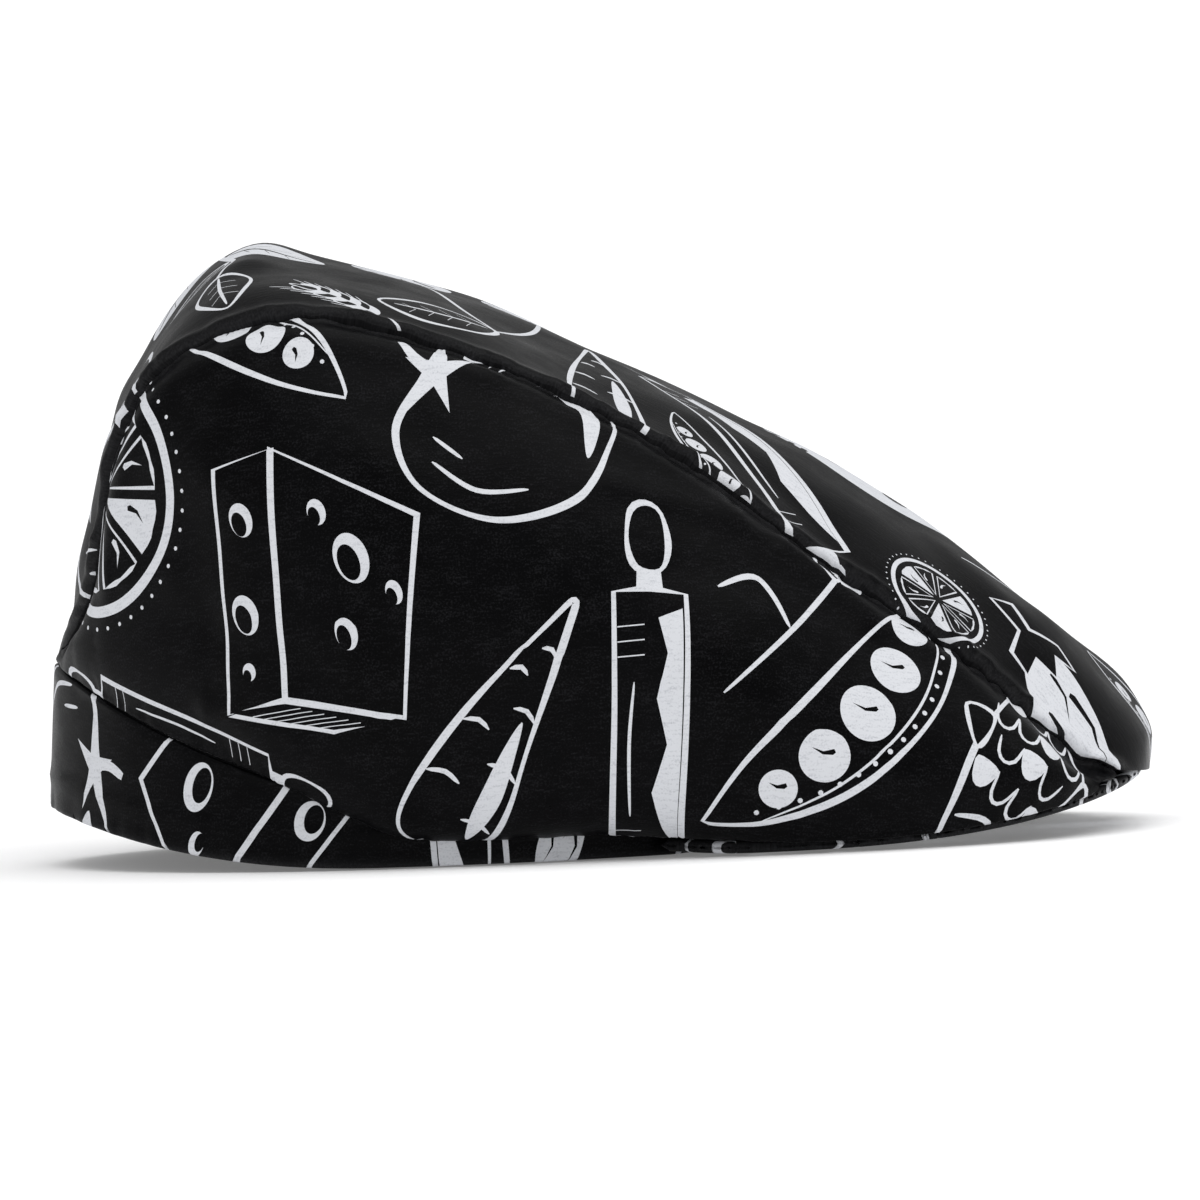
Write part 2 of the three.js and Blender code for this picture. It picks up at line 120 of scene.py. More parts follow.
# %% Stations of the crown, front to back
COLUMNS = ("crest_x", "crest_z", "seam_x", "seam_y", "seam_z", "rim", "belly", "waist", "drop", "arrive")
STATIONS = np.array([
    (1.003, 0.007, 0.9661, 0.504, 0.02, 33, 0.02, 0.5, 62, 20),
    (1.001, 0.07, 0.9412, 0.559, 0.035, 40, 0.03, 0.5, 52, 16),
    (0.9645, 0.159, 0.8947, 0.644, 0.096, 49, 0.05, 0.48, 44, 14),
    (0.8997, 0.266, 0.8379, 0.751, 0.192, 61, 0.08, 0.42, 40, 12),
    (0.8227, 0.386, 0.765, 0.859, 0.293, 75, 0.26, 0.4, 38, 18),
    (0.7336, 0.506, 0.6819, 0.935, 0.419, 86, 0.52, 0.4, 36, 36),
    (0.6313, 0.629, 0.5867, 0.975, 0.578, 57, 0.9, 0.4, 35, 62),
    (0.5168, 0.755, 0.4844, 1, 0.702, 71, 1.3, 0.4, 35, 80),
    (0.3953, 0.884, 0.376, 1, 0.806, 83, 1.1, 0.4, 35, 84),
    (0.294, 0.956, 0.2808, 0.98, 0.873, 95, 1.02, 0.4, 36, 74),
    (0.216, 0.994, 0.2079, 0.93, 0.877, 106, 0.84, 0.4, 40, 54),
    (0.1695, 0.982, 0.1471, 0.86, 0.827, 116, 0.6, 0.38, 48, 30),
    (0.126, 0.888, 0.1035, 0.785, 0.76, 125.5, 0.4, 0.36, 58, 12),
    (0.0865, 0.731, 0.0766, 0.71, 0.662, 134, 0.24, 0.34, 66, 2),
    (0.0565, 0.548, 0.0564, 0.64, 0.529, 142, 0.13, 0.32, 72, -4),
    (0.0352, 0.348, 0.0464, 0.56, 0.332, 150.5, 0.06, 0.3, 76, -8),
    (0.0182, 0.18, 0.0353, 0.42, 0.178, 160, 0.02, 0.3, 80, -8),
    (0.0023, 0.006, 0.0058, 0.13, 0.035, 178.8, 0, 0.3, 82, -8),
], float)
LAST_ON_PEAK, FIRST_ON_BAND = 5, 7  # the rim leaves the peak and reaches the band
TEMPLE_BULGE = 3.2  # mm, how far it stands out between them

# %% [markdown]
# ## The surface of the cap
# The crown is one surface. A share runs along it from the front edge (0) to the back (1), and another
# number runs across it: 0 on the middle line, 1 at the seam, 2 at the lower rim, minus on the right.
# Every function takes whole arrays of such places, so thousands of points cost one call.

# %% Small helpers on arrays
def mix(a, b, share):
    return a + (b - a) * share


def ease(x):
    s = np.clip(x, 0, 1)
    return s * s * (3 - 2 * s)


def unit(v):
    return v / np.maximum(np.linalg.norm(v, axis=-1, keepdims=True), 1e-9)


def bell(distance, width, middle=0.0):
    """1 at the middle, falling smoothly to nothing on both sides."""
    return np.exp(-((distance - middle) / width) ** 2)


def xyz(x, y, z):
    return np.stack(np.broadcast_arrays(x, y, z), -1).astype(float)


def column(name, share):
    """A smooth value through one column of the station table."""
    values = STATIONS[:, COLUMNS.index(name)]
    last = len(values) - 1
    place = np.clip(share, 0, 1) * last
    i = np.minimum(place.astype(int), last - 1)
    a, b, c, d = (values[np.clip(i + k, 0, last)] for k in (-1, 0, 1, 2))
    u = place - i
    return b + 0.5 * u * (c - a + u * (2 * a - 5 * b + 4 * c - d + (3 * (b - c) + d - a) * u))


print("the seam's share of the half width, front to back:", column("seam_y", np.linspace(0, 1, 5)).round(2))

# %% Band and peak: hem, upper edge, faces and outline
def hem_z(angle):
    c = np.cos(angle)
    back = np.clip((-c - 0.19) / 0.81, 0, 1) ** 2.2
    front = np.clip((c - 0.5) / 0.5, 0, 1) ** 1.5
    return HEM_BACK_LIFT * back + HEM_FRONT_LIFT * front


def band_top_z(angle):
    c = np.cos(angle)
    fall = np.clip((-c - 0.16) / 0.84, 0, 1)
    behind = mix(BAND_SIDE_HEIGHT, BAND_BACK_TOP, mix(fall, fall ** 2.6, 0.38))
    return behind + (HEM_FRONT_LIFT + BAND_FRONT_HEIGHT - BAND_SIDE_HEIGHT) * ease((c - 0.45) / 0.5)


def band_face(angle, z, out=0.0):
    lean = np.where(np.cos(angle) < 0, BAND_LEAN * np.clip(z / BAND_BACK_TOP, 0, 1), 0)
    half = BAND_LENGTH / 2 - lean
    normal = unit(xyz(np.cos(angle) / half, np.sin(angle) / BAND_HALF_WIDTH, 0))
    on_face = xyz(OPENING_X + half * np.cos(angle), BAND_HALF_WIDTH * np.sin(angle), z)
    return on_face + normal * np.asarray(out)[..., None]


def peak_outline(angle, out=0.0):
    """The peak's edge in plan: an angle of 0 at the tip, 114 degrees at a corner, minus on the right."""
    half, reach = PEAK_WIDTH / 2, CROWN_LENGTH - RIM_OFFSET - PEAK_WAIST_X

    def at(a):
        past = (a - math.pi / 2) / (PEAK_HALF_TURN - math.pi / 2)
        c, s = (np.maximum(turn(a), 0) ** (2 / PEAK_SQUARENESS) for turn in (np.cos, np.sin))
        front = a <= math.pi / 2
        return xyz(np.where(front, PEAK_WAIST_X + reach * c, PEAK_WAIST_X - PEAK_CORNER_SETBACK * past),
                   np.where(front, half * s, half * (1 - PEAK_CORNER_TAPER * past * past)), 0)

    size = np.abs(angle)
    step = 1e-3
    along = at(size + step) - at(np.maximum(size - step, 0))
    normal = unit(np.where((size < step)[..., None], [1.0, 0.0, 0.0], xyz(along[..., 1], -along[..., 0], 0)))
    p = at(size) + normal * out
    p[..., 1] *= np.sign(angle)
    return p


def peak_under_z(x, y):
    middle = np.maximum(mix(PEAK_ROOT_LIFT, PEAK_TIP_LIFT, (x - BAND_LENGTH) / PEAK_REACH), 0)
    return middle * (1 - np.clip(np.abs(y) / (PEAK_WIDTH / 2), 0, 1) ** PEAK_ARCH_POWER)


print("hem in front and behind:", hem_z(np.array([0, math.pi])).round(1), "mm up")

# %% The crown's rim, on the left side
def tail_taper(share):
    return ease((share - 0.9) / 0.1)


def rim(share):
    place = share * (len(STATIONS) - 1)
    rims = STATIONS[:, COLUMNS.index("rim")]
    arrive = np.radians(column("arrive", share))

    def on_peak(k):
        angle = np.radians(np.interp(k, np.arange(LAST_ON_PEAK + 1), rims[: LAST_ON_PEAK + 1]))
        p = peak_outline(angle, RIM_OFFSET)
        p[..., 2] = peak_under_z(p[..., 0], p[..., 1]) + RIM_SHOWS_PEAK
        return p

    def on_band(k):
        angle = np.radians(np.interp(k, np.arange(FIRST_ON_BAND, len(rims)), rims[FIRST_ON_BAND:]))
        low = np.clip((math.radians(122) - angle) / math.radians(32), 0, 1)
        hang = BAND_SIDE_HEIGHT * 0.6 * ease(low)
        lap = ease((math.radians(126) - angle) / math.radians(12))
        level = band_top_z(angle) + SEAM_GAP - hang + CROWN_WALL * np.maximum(-np.sin(arrive), 0)
        return band_face(angle, level, lap * (SEAM_GAP + CROWN_WALL * np.maximum(np.cos(arrive), 0)))

    u = np.clip((place - LAST_ON_PEAK) / (FIRST_ON_BAND - LAST_ON_PEAK), 0, 1)[..., None]
    between = mix(on_peak(np.minimum(place, LAST_ON_PEAK)), on_band(np.maximum(place, FIRST_ON_BAND)), u)
    between[..., 1] += (TEMPLE_BULGE * np.sin(math.pi * u) * (1 - u))[..., 0]
    return between


print("rim half way back:", rim(np.array([0.5]))[0].round(1), "mm")


# %% The crown's seam and faces, on the left side
def way_out(point):
    """The horizontal way out of the cap at points of its left side."""
    x = point[..., 0]
    middle = mix(OPENING_X, PEAK_WAIST_X, ease((x - OPENING_X) / (CROWN_LENGTH - OPENING_X)))
    half = np.where(x > middle, CROWN_LENGTH - middle, middle)
    return unit(xyz((x - middle) / half ** 2, point[..., 1] / (PEAK_WIDTH / 2) ** 2, 0))


def crown_z(share, rise):
    return mix(mix(PEAK_TIP_LIFT, BAND_BACK_TOP + SEAM_GAP, share), CROWN_HEIGHT, rise)


def crown_x(way):
    return mix(BAND_LEAN, CROWN_LENGTH, way)


def seam(share):
    half_width = mix(PEAK_WIDTH / 2, TOP_WIDTH / 2, ease(share / 0.3))
    return xyz(crown_x(column("seam_x", share)), half_width * column("seam_y", share),
               crown_z(share, column("seam_z", share)))


def cubic(a, b, c, d, u):
    v = 1 - u
    return a * v ** 3 + b * (3 * v * v * u) + c * (3 * v * u * u) + d * u ** 3


def top_surface(share, across):
    edge = seam(share)
    rise = across ** mix(2.2, 1.0, tail_taper(share))
    arch = xyz(mix(crown_x(column("crest_x", share)), edge[..., 0], rise), edge[..., 1] * across,
               mix(crown_z(share, column("crest_z", share)), edge[..., 2], rise))
    front = (1 - np.clip(share / 0.07, 0, 1)) ** 2
    angles = np.radians(np.linspace(0, 60, 241))
    outline = peak_outline(angles, RIM_OFFSET)
    arch[..., 0] = mix(arch[..., 0], np.interp(arch[..., 1], outline[:, 1], outline[:, 0]), front)
    return arch


def side_surface(share, across):
    edge, end = seam(share), rim(share)
    out = way_out((edge + end) / 2)
    drop = np.radians(column("drop", share))[..., None]
    waist_up = column("waist", share)
    height = edge[..., 2] - end[..., 2]
    up = np.array([0.0, 0.0, 1.0])
    waist = end + out * (BELLY * column("belly", share))[..., None] + up * (height * waist_up)[..., None]
    pull = 0.5 * np.linalg.norm(edge - waist, axis=-1)[..., None]
    sag = (height * waist_up)[..., None]
    down_out = out * np.cos(drop) - up * np.sin(drop)
    arrive = (np.radians(column("arrive", share)) * (1 - tail_taper(share)))[..., None]
    way_up = out * np.sin(arrive) + up * np.cos(arrive)
    slack = np.clip(column("belly", share) * 2, 0, 1)[..., None]
    lean = unit(mix(unit(end - edge), -up, slack))
    u = (across - 1)[..., None]
    turn = (1 - waist_up * 0.8)[..., None]
    above = cubic(edge, edge + down_out * pull * 0.62, waist - lean * pull * 0.66, waist,
                  np.clip(u / turn, 0, 1))
    below = cubic(waist, waist + lean * sag * 0.55, end + way_up * sag * mix(0.3, 0.22, slack), end,
                  np.clip((u - turn) / (1 - turn), 0, 1))
    return mix(np.where(u < turn, above, below), mix(edge, end, u), tail_taper(share)[..., None])


def crown(share, place):
    """Points of the smooth crown. place is 0 at the middle line, plus or minus 1 at a seam, 2 at a rim."""
    share, place = np.broadcast_arrays(np.asarray(share, float), np.asarray(place, float))
    across = np.abs(place)
    p = np.where((across <= 1)[..., None], top_surface(share, np.minimum(across, 1)),
                 side_surface(share, np.clip(across, 1, 2)))
    p[..., 1] *= np.where(place < 0, -1, 1)
    return p


print("top of the crown at", crown(np.linspace(0, 1, 201), 0)[:, 2].max().round(1), "mm")

# %% [markdown]
# ## Folds, seams and rolled edges
# Real cloth is never as smooth as its pattern. Where two panels meet, the raw edges are folded inside:
# the outer faces roll down into a narrow valley, the allowance lifts the top panel beside it, and the
# thread draws both into small puckers. Away from the seams the cloth has long soft folds. Nearly all of
# it is a lift along the surface's own normal, in millimetres, so the panels keep their place. Beside a
# seam both panels lift the same way, and the seam strays a little sideways.

# %% Faces of the smooth crown
STEP_ALONG, STEP_ACROSS = 1e-3, 4e-3


def face_way(points, share, place, low, high):
    """Unit normals of a surface given as a function of share and place, between low and high."""
    along = (points(np.minimum(share + STEP_ALONG, 1), place)
             - points(np.maximum(share - STEP_ALONG, 0), place))
    across = (points(share, np.minimum(place + STEP_ACROSS, high))
              - points(share, np.maximum(place - STEP_ACROSS, low)))
    return unit(np.cross(along, -across))


PANELS = {"top": (-1.0, 1.0), "side_left": (1.0, 2.0), "side_right": (-2.0, -1.0)}

# Tables along the left seam and the left rim, at even shares of the way back
EDGE_SHARES = np.linspace(0, 1, 801)


def at_share(share, table):
    """A table's value at any share of the way back."""
    return np.interp(share, EDGE_SHARES, table)


def edge_table(at, inwards):
    """How far along the edge, and how fast the surface leaves it sideways."""
    line = crown(EDGE_SHARES, at)
    length = np.concatenate([[0], np.cumsum(np.linalg.norm(np.diff(line, axis=0), axis=1))])
    tangent = unit(np.gradient(line, axis=0))
    near = (crown(EDGE_SHARES, at + inwards * 0.02) - line) / 0.02
    near -= tangent * np.sum(near * tangent, axis=1, keepdims=True)
    return length, np.linalg.norm(near, axis=1)


SEAM_LENGTH, SEAM_SPEED_TOP = edge_table(1.0, -1)
_, SEAM_SPEED_SIDE = edge_table(1.0, 1)
RIM_LENGTH, RIM_SPEED = edge_table(2.0, -1)
CREST_LENGTH, _ = edge_table(0.0, 1)
ON_SEAM = np.ones_like(EDGE_SHARES)
SEAM_FACE = unit(face_way(crown, EDGE_SHARES, ON_SEAM, -1, 1) + face_way(crown, EDGE_SHARES, ON_SEAM, 1, 2))
SEAM_ACROSS = unit(np.cross(SEAM_FACE, np.gradient(crown(EDGE_SHARES, 1.0), axis=0)))
for name, length in (("seam", SEAM_LENGTH), ("rim", RIM_LENGTH), ("middle line", CREST_LENGTH)):
    print(name, round(length[-1]), "mm long")


def seam_distance(share, place):
    """Millimetres from a seam, and along it."""
    across = np.abs(place)
    speed = np.where(across <= 1, at_share(share, SEAM_SPEED_TOP), at_share(share, SEAM_SPEED_SIDE))
    return np.abs(across - 1) * speed, at_share(share, SEAM_LENGTH)


def rim_distance(share, place):
    """Millimetres from the lower rim, and along it."""
    return (2 - np.abs(place)) * at_share(share, RIM_SPEED), at_share(share, RIM_LENGTH)


# %% Rolled edges, puckers and slack
ROLL = 1.15  # radius of a folded edge
PUCKER = 8.5  # from one pucker to the next
WANDER = 0.42  # how far the seam strays sideways


def rolled(distance, radius=ROLL):
    """How far a folded edge has turned in."""
    d = np.clip(radius - distance, 0, radius)
    return radius - np.sqrt(np.maximum(radius ** 2 - d ** 2, 0))


def wave(length, period, phase):
    """A sine along a length, with its period in the same unit."""
    return np.sin(length * math.tau / period + phase)


def puckers(length, phase):
    """Uneven small waves along a seam, from the pull of its thread."""
    wander = 2.2 * wave(length, 47, phase) + 1.3 * wave(length, 101, 2 * phase)
    return 0.62 * wave(length, PUCKER, wander) + 0.38 * wave(length, 5.1, 1.7 * wander + phase)


def slack(length, phase):
    """From 0 to 1: where the cloth beside a seam lies loose."""
    return 0.5 + (wave(length, 39, 1.4 * wave(length, 83, phase)) + 0.6 * wave(length, 17, 3 * phase)) / 3.2


def gathered(share):
    """The seam is drawn in more near the front, where the thread was pulled tight."""
    return 1 + 0.9 * ease((0.28 - share) / 0.12)


print("puckers along the seam:", round(SEAM_LENGTH[-1] / PUCKER))

# %% Soft folds and ripples
# Soft folds, each from one place (a) to another (b): a share of the way back and a place across, with
# minus on the right side. Width is half the fold's width and lift its height, in mm. A dent is minus.
CREASES = np.array([
    # share_a, place_a, share_b, place_b, width, lift
    (0.555, -1.09, 0.455, -1.07, 5, 1.3),
    (0.550, -1.26, 0.470, -1.24, 8, -0.7),
    (0.480, -1.20, 0.405, -1.36, 11, 0.9),
    (0.400, -1.24, 0.330, -1.14, 5, 1.3),
    (0.370, -1.40, 0.320, -1.30, 6, -0.6),
    (0.300, -1.08, 0.255, -1.18, 5, 1.6),
    (0.235, -1.22, 0.160, -1.20, 8, -0.7),
    (0.705, -1.86, 0.620, -1.84, 4, 1.0),
    (0.690, -1.72, 0.600, -1.74, 7, -0.8),
    (0.545, -1.82, 0.465, -1.86, 7, 1.3),
    (0.420, -1.72, 0.330, -1.80, 9, -0.8),
    (0.085, -1.25, 0.045, -1.35, 7, -1.8),
    (0.125, -1.55, 0.050, -1.62, 5, 0.9),
    (0.830, -1.50, 0.740, -1.58, 6, 0.8),
    (0.355, -0.70, 0.290, -0.82, 8, -0.9),
    (0.230, -0.30, 0.160, -0.55, 9, 0.9),
    (0.520, 1.08, 0.430, 1.10, 6, 1.3),
    (0.500, 1.28, 0.420, 1.34, 9, -0.7),
    (0.330, 1.12, 0.250, 1.20, 6, 1.3),
    (0.640, 1.84, 0.560, 1.82, 6, 1.1),
    (0.460, 1.74, 0.360, 1.78, 9, -0.8),
    (0.090, 1.30, 0.045, 1.40, 7, -1.3),
    (0.760, 1.50, 0.680, 1.66, 7, 0.9),
    (0.330, 0.75, 0.260, 0.62, 9, -0.8),
    (0.810, -0.30, 0.785, 0.25, 7, 0.9),
    (0.335, -0.30, 0.265, 0.10, 14, 1.3),
    (0.165, -0.25, 0.110, 0.20, 9, 1.4),
    (0.612, -0.35, 0.596, 0.20, 7, 1.6),
])
RIPPLE_SEED = 7
ripple_random = np.random.default_rng(RIPPLE_SEED)
RIPPLES = [(unit(ripple_random.normal(size=3)) * math.tau / length, ripple_random.uniform(0, math.tau), lift)
           for length, lift in ((71, 0.5), (53, 0.42), (43, 0.34), (31, 0.2), (23, 0.12), (17, 0.07))]


def fold_lift(points):
    """Creases and gentle ripples at points of the smooth crown."""
    lift = sum(amount * np.sin(points @ way + phase) for way, phase, amount in RIPPLES)
    for share_a, place_a, share_b, place_b, width, amount in CREASES:
        a, b = crown([share_a, share_b], [place_a, place_b])
        t = np.clip(((points - a) @ (b - a)) / max((b - a) @ (b - a), 1e-9), 0, 1)[..., None]
        lift = lift + amount * bell(np.linalg.norm(points - mix(a, b, t), axis=-1), width)
    return lift


print(len(CREASES), "soft folds and", len(RIPPLES), "ripples")

# %% The whole lift
# Beside a seam, the width and the middle in mm from it: a ridge on the top panel, and a ditch and a
# swelling on the side panel. Their heights in mm, where the cloth is drawn tight and what slack adds.
TOP_RIDGE, TOP_RIDGE_LIFT = (2.3, 2.4), (0.8, 0.8)
SIDE_DITCH, SIDE_DITCH_DEPTH = (2.8, 1.6), (0.7, 1.3)
SIDE_SWELL, SIDE_SWELL_LIFT = (3.6, 8.5), 0.6
PUCKER_TOP, PUCKER_SIDE, PUCKER_RIM = 0.3, 0.26, 0.16  # mm high
PUCKER_REACH, PUCKER_RIM_REACH, WANDER_REACH, SHARED_WAY_REACH = 4.0, 5.0, 4.5, 3.5
CALM_BY_SEAM, CALM_BY_RIM, CALM = 7, 9, 0.35  # soft folds fade over so many mm, at a seam to this share
RIM_ROLL = 0.9


def between_ends(share, front, back):
    """1 along the cap, fading to nothing at its front and at its back."""
    return ease(share / front) * ease((1 - share) / back)


def cloth_lift(share, place, points):
    """The whole lift of the crown's cloth."""
    from_seam, along_seam = seam_distance(share, place)
    from_rim, along_rim = rim_distance(share, place)
    on_top = np.abs(place) <= 1
    phase = np.where(place < 0, 1.0, 3.7)
    ends = between_ends(share, 0.02, 0.04)
    calm = ease(from_rim / CALM_BY_RIM) * mix(CALM, 1, ease(from_seam / CALM_BY_SEAM))
    loose = slack(along_seam, phase)
    (ridge, ridge_more), (ditch, ditch_more) = TOP_RIDGE_LIFT, SIDE_DITCH_DEPTH
    on_side = (SIDE_SWELL_LIFT * bell(from_seam, *SIDE_SWELL)
               - (ditch + ditch_more * loose) * bell(from_seam, *SIDE_DITCH))
    seam_form = np.where(on_top, (ridge + ridge_more * loose) * bell(from_seam, *TOP_RIDGE), on_side)
    drawn = np.where(on_top, PUCKER_TOP, PUCKER_SIDE) * (0.5 + loose) * gathered(share)
    drawn = drawn * puckers(along_seam, phase) * bell(from_seam, PUCKER_REACH)
    at_rim = PUCKER_RIM * puckers(along_rim, phase + 1) * bell(from_rim, PUCKER_RIM_REACH)
    lift = (fold_lift(points) * calm + seam_form + drawn + at_rim) * ends
    return lift - rolled(from_seam) - np.where(on_top, 0, rolled(from_rim, RIM_ROLL))


def seam_way(table, share, place):
    """A direction of the seam, at any share of the way back, on the side of the place."""
    way = np.stack([at_share(share, table[:, k]) for k in range(3)], -1)
    way[..., 1] *= np.where(place < 0, -1, 1)
    return way


def lift_way(share, place, low, high):
    """The way the cloth lifts: out of its face, and beside a seam the way both panels share."""
    near = bell(seam_distance(share, place)[0], SHARED_WAY_REACH)[..., None]
    return unit(mix(face_way(crown, share, place, low, high), seam_way(SEAM_FACE, share, place), near))


def cloth(share, place, low, high):
    """Points of a panel's outer face, with its folds."""
    share, place = np.broadcast_arrays(np.asarray(share, float), np.asarray(place, float))
    base = crown(share, place)
    out = lift_way(share, place, low, high)
    from_seam, along_seam = seam_distance(share, place)
    across = seam_way(SEAM_ACROSS, share, place)
    phase = np.where(place < 0, 2.0, 4.7)
    wander = (WANDER * gathered(share) * puckers(along_seam * 0.8, phase) * bell(from_seam, WANDER_REACH)
              * between_ends(share, 0.03, 0.06))
    return base + out * cloth_lift(share, place, base)[..., None] + across * wander[..., None]


valley, crest = (cloth(0.5, at, -1, 1) - crown(0.5, at) for at in (0.999, 0.97))
print("at the seam and beside it the cloth lies", valley[2].round(2), "and", crest[2].round(2), "mm higher")

# %% [markdown]
# ## Cutting patterns
# Printed cloth is flat before it is sewn, so the doodles are laid out on flat pattern pieces. A coarse
# grid of each panel is unwrapped as little stretched as possible, brought to its real size, and turned
# so that its axes run with the cap. Each flat place then leads back to a place on the surface.

# %% Flat patterns
ALONG_STEPS, ACROSS_STEPS = 90, 40  # squares of the grid that is unwrapped


def grid_mesh(name, points):
    rows, columns = points.shape[:2]
    at = np.arange(rows * columns).reshape(rows, columns)
    quads = np.stack([at[:-1, :-1], at[1:, :-1], at[1:, 1:], at[:-1, 1:]], -1).reshape(-1, 4)
    mesh = bpy.data.meshes.new(name)
    mesh.from_pydata(points.reshape(-1, 3).tolist(), [], quads.tolist())
    mesh.update()
    return mesh, quads


def unwrapped(name, points):
    """Flat places of a grid of points, in the same units, by Blender's own unwrap."""
    mesh, quads = grid_mesh(name, points)
    pattern = bpy.data.objects.new(name, mesh)
    bpy.context.scene.collection.objects.link(pattern)
    bpy.ops.object.select_all(action="DESELECT")
    pattern.select_set(True)
    bpy.context.view_layer.objects.active = pattern
    mesh.uv_layers.new(name="flat")
    bpy.ops.object.mode_set(mode="EDIT")
    bpy.ops.mesh.select_all(action="SELECT")
    bpy.ops.uv.unwrap(method="MINIMUM_STRETCH", fill_holes=False, correct_aspect=False, iterations=20,
                      margin=0)
    bpy.ops.object.mode_set(mode="OBJECT")
    corners = np.empty(len(mesh.loops) * 2, np.float32)
    mesh.uv_layers["flat"].uv.foreach_get("vector", corners)
    vertex = np.empty(len(mesh.loops), np.int32)
    mesh.loops.foreach_get("vertex_index", vertex)
    flat = np.zeros((len(mesh.vertices), 2))
    flat[vertex] = corners.reshape(-1, 2)
    bpy.data.objects.remove(pattern)
    bpy.data.meshes.remove(mesh)
    edges = np.concatenate([quads[:, [0, 1]], quads[:, [1, 2]]])
    solid_edges, flat_edges = (np.linalg.norm(net[edges[:, 0]] - net[edges[:, 1]], axis=1)
                               for net in (points.reshape(-1, 3), flat))
    size = solid_edges.sum() / flat_edges.sum()
    print(name, "pattern stretch", np.percentile(flat_edges * size / solid_edges, [5, 95]).round(3))
    return flat * size


def turned_to(flat, guide):
    """The pattern moved and turned, never mirrored, to lie best over a guide."""
    a, b = flat - flat.mean(0), guide - guide.mean(0)
    u, _, v = np.linalg.svd(a.T @ b)
    turn = u @ v
    if np.linalg.det(turn) < 0:
        turn = u @ np.diag([1, -1]) @ v
    return a @ turn + guide.mean(0)


def cut_pattern(panel):
    """A panel's grid of shares and places, and where they lie on its flat pattern."""
    low, high = PANELS[panel]
    share, place = np.meshgrid(np.linspace(0, 1, ALONG_STEPS + 1), np.linspace(high, low, ACROSS_STEPS + 1),
                               indexing="ij")
    points = crown(share, place)
    flat = unwrapped(panel, points)
    if panel == "top":
        guide = np.stack([-at_share(share, CREST_LENGTH).ravel(), points[..., 1].ravel()], -1)
    else:
        way = 1 if panel == "side_right" else -1
        guide = np.stack([way * points[..., 0].ravel(), points[..., 2].ravel()], -1)
    return share, place, turned_to(flat, guide).reshape(*share.shape, 2)


PATTERNS = {panel: cut_pattern(panel) for panel in PANELS}
for panel, (_, _, flat) in PATTERNS.items():
    print(panel, "flat from", flat.min((0, 1)).round(1), "to", flat.max((0, 1)).round(1), "mm")

# %% [markdown]
# ## The print: drawing tools
# The cloth carries white kitchen doodles that look brushed and cut in wood. A doodle here is a list of
# flat shapes, painted one over the other: each is a polygon that either lays ink down or takes it away.
# A few tools make all of them: a smooth line through some points, a brush stroke along a line, an
# outline, a pointed cut, and a dot.

# %% Lines, strokes and outlines, in millimetres
INK, BARE = 1, 0
BRUSH = 0.9


def spline(points, closed=False, step=1.3):
    """A smooth line through a few points."""
    p = np.array(points, float)
    n = len(p)
    parts = []
    for i in range(n if closed else n - 1):
        a, b, c, d = (p[k % n] if closed else p[min(max(k, 0), n - 1)] for k in range(i - 1, i + 3))
        u = np.linspace(0, 1, max(2, round(math.dist(b, c) / step)), endpoint=False)[:, None]
        bend = 2 * a - 5 * b + 4 * c - d + (3 * (b - c) + d - a) * u
        parts.append(b + 0.5 * u * (c - a + u * bend))
    return np.vstack(parts if closed else parts + [p[-1:]])


def sideways(line, closed=False):
    """Unit steps to the left of a line, at each of its points."""
    if closed:
        along = np.roll(line, -1, 0) - np.roll(line, 1, 0)
    else:
        along = np.gradient(line, axis=0)
    along = along / np.maximum(np.hypot(*along.T), 1e-9)[:, None]
    return np.stack([-along[:, 1], along[:, 0]], 1)


def stroke(points, width=BRUSH, ends=0.25, ink=INK, curved=True):
    """A brush stroke that thins out at both ends."""
    line = spline(points) if curved else np.array(points, float)
    s = np.linspace(0, math.pi, len(line))
    half = width / 2 * (ends + (1 - ends) * np.sqrt(np.abs(np.sin(s))))[:, None]
    left = sideways(line) * half
    return [(ink, np.vstack([line + left, (line - left)[::-1]]))]


def strokes(width, *lines, **how):
    return [shape for line in lines for shape in stroke(line, width, **how)]


def outline(points, width=BRUSH, curved=True, fill=BARE):
    """A closed brushed outline that covers what lies under it."""
    line = spline(points, closed=True) if curved else np.array(points, float)
    s = np.linspace(0, 2 * math.pi, len(line), endpoint=False)
    half = width / 2 * (1 + 0.3 * np.sin(3 * s + 1))[:, None]
    out = sideways(line, closed=True) * half
    area = np.sum(line[:, 0] * np.roll(line[:, 1], -1) - line[:, 1] * np.roll(line[:, 0], -1))
    if area > 0:
        out = -out
    return [(INK, line + out), (fill, line - out)]


def solid(points, ink=INK, curved=True):
    return [(ink, spline(points, closed=True) if curved else np.array(points, float))]


print("a brush stroke has", len(stroke([(0, 0), (9, 3), (18, 0)])[0][1]), "corners")


# %% Cuts, teeth, dots and ovals
def cut(tail, tip, width, ink=BARE, sway=0.12):
    """A pointed cut, round at its tail, as a gouge makes."""
    tail, tip = np.array(tail, float), np.array(tip, float)
    way = tip - tail
    side = np.array([-way[1], way[0]]) / np.hypot(*way)
    middle = tail + way * 0.45 + side * np.hypot(*way) * sway
    back = tail - way / np.hypot(*way) * width * 0.4
    return [(ink, np.array([back, tail + side * width / 2, middle + side * width * 0.34, tip,
                            middle - side * width * 0.2, tail - side * width / 2]))]


def cuts(*rows):
    """Cuts from rows of tail, tip and width."""
    return [shape for row in rows for shape in cut(*row)]


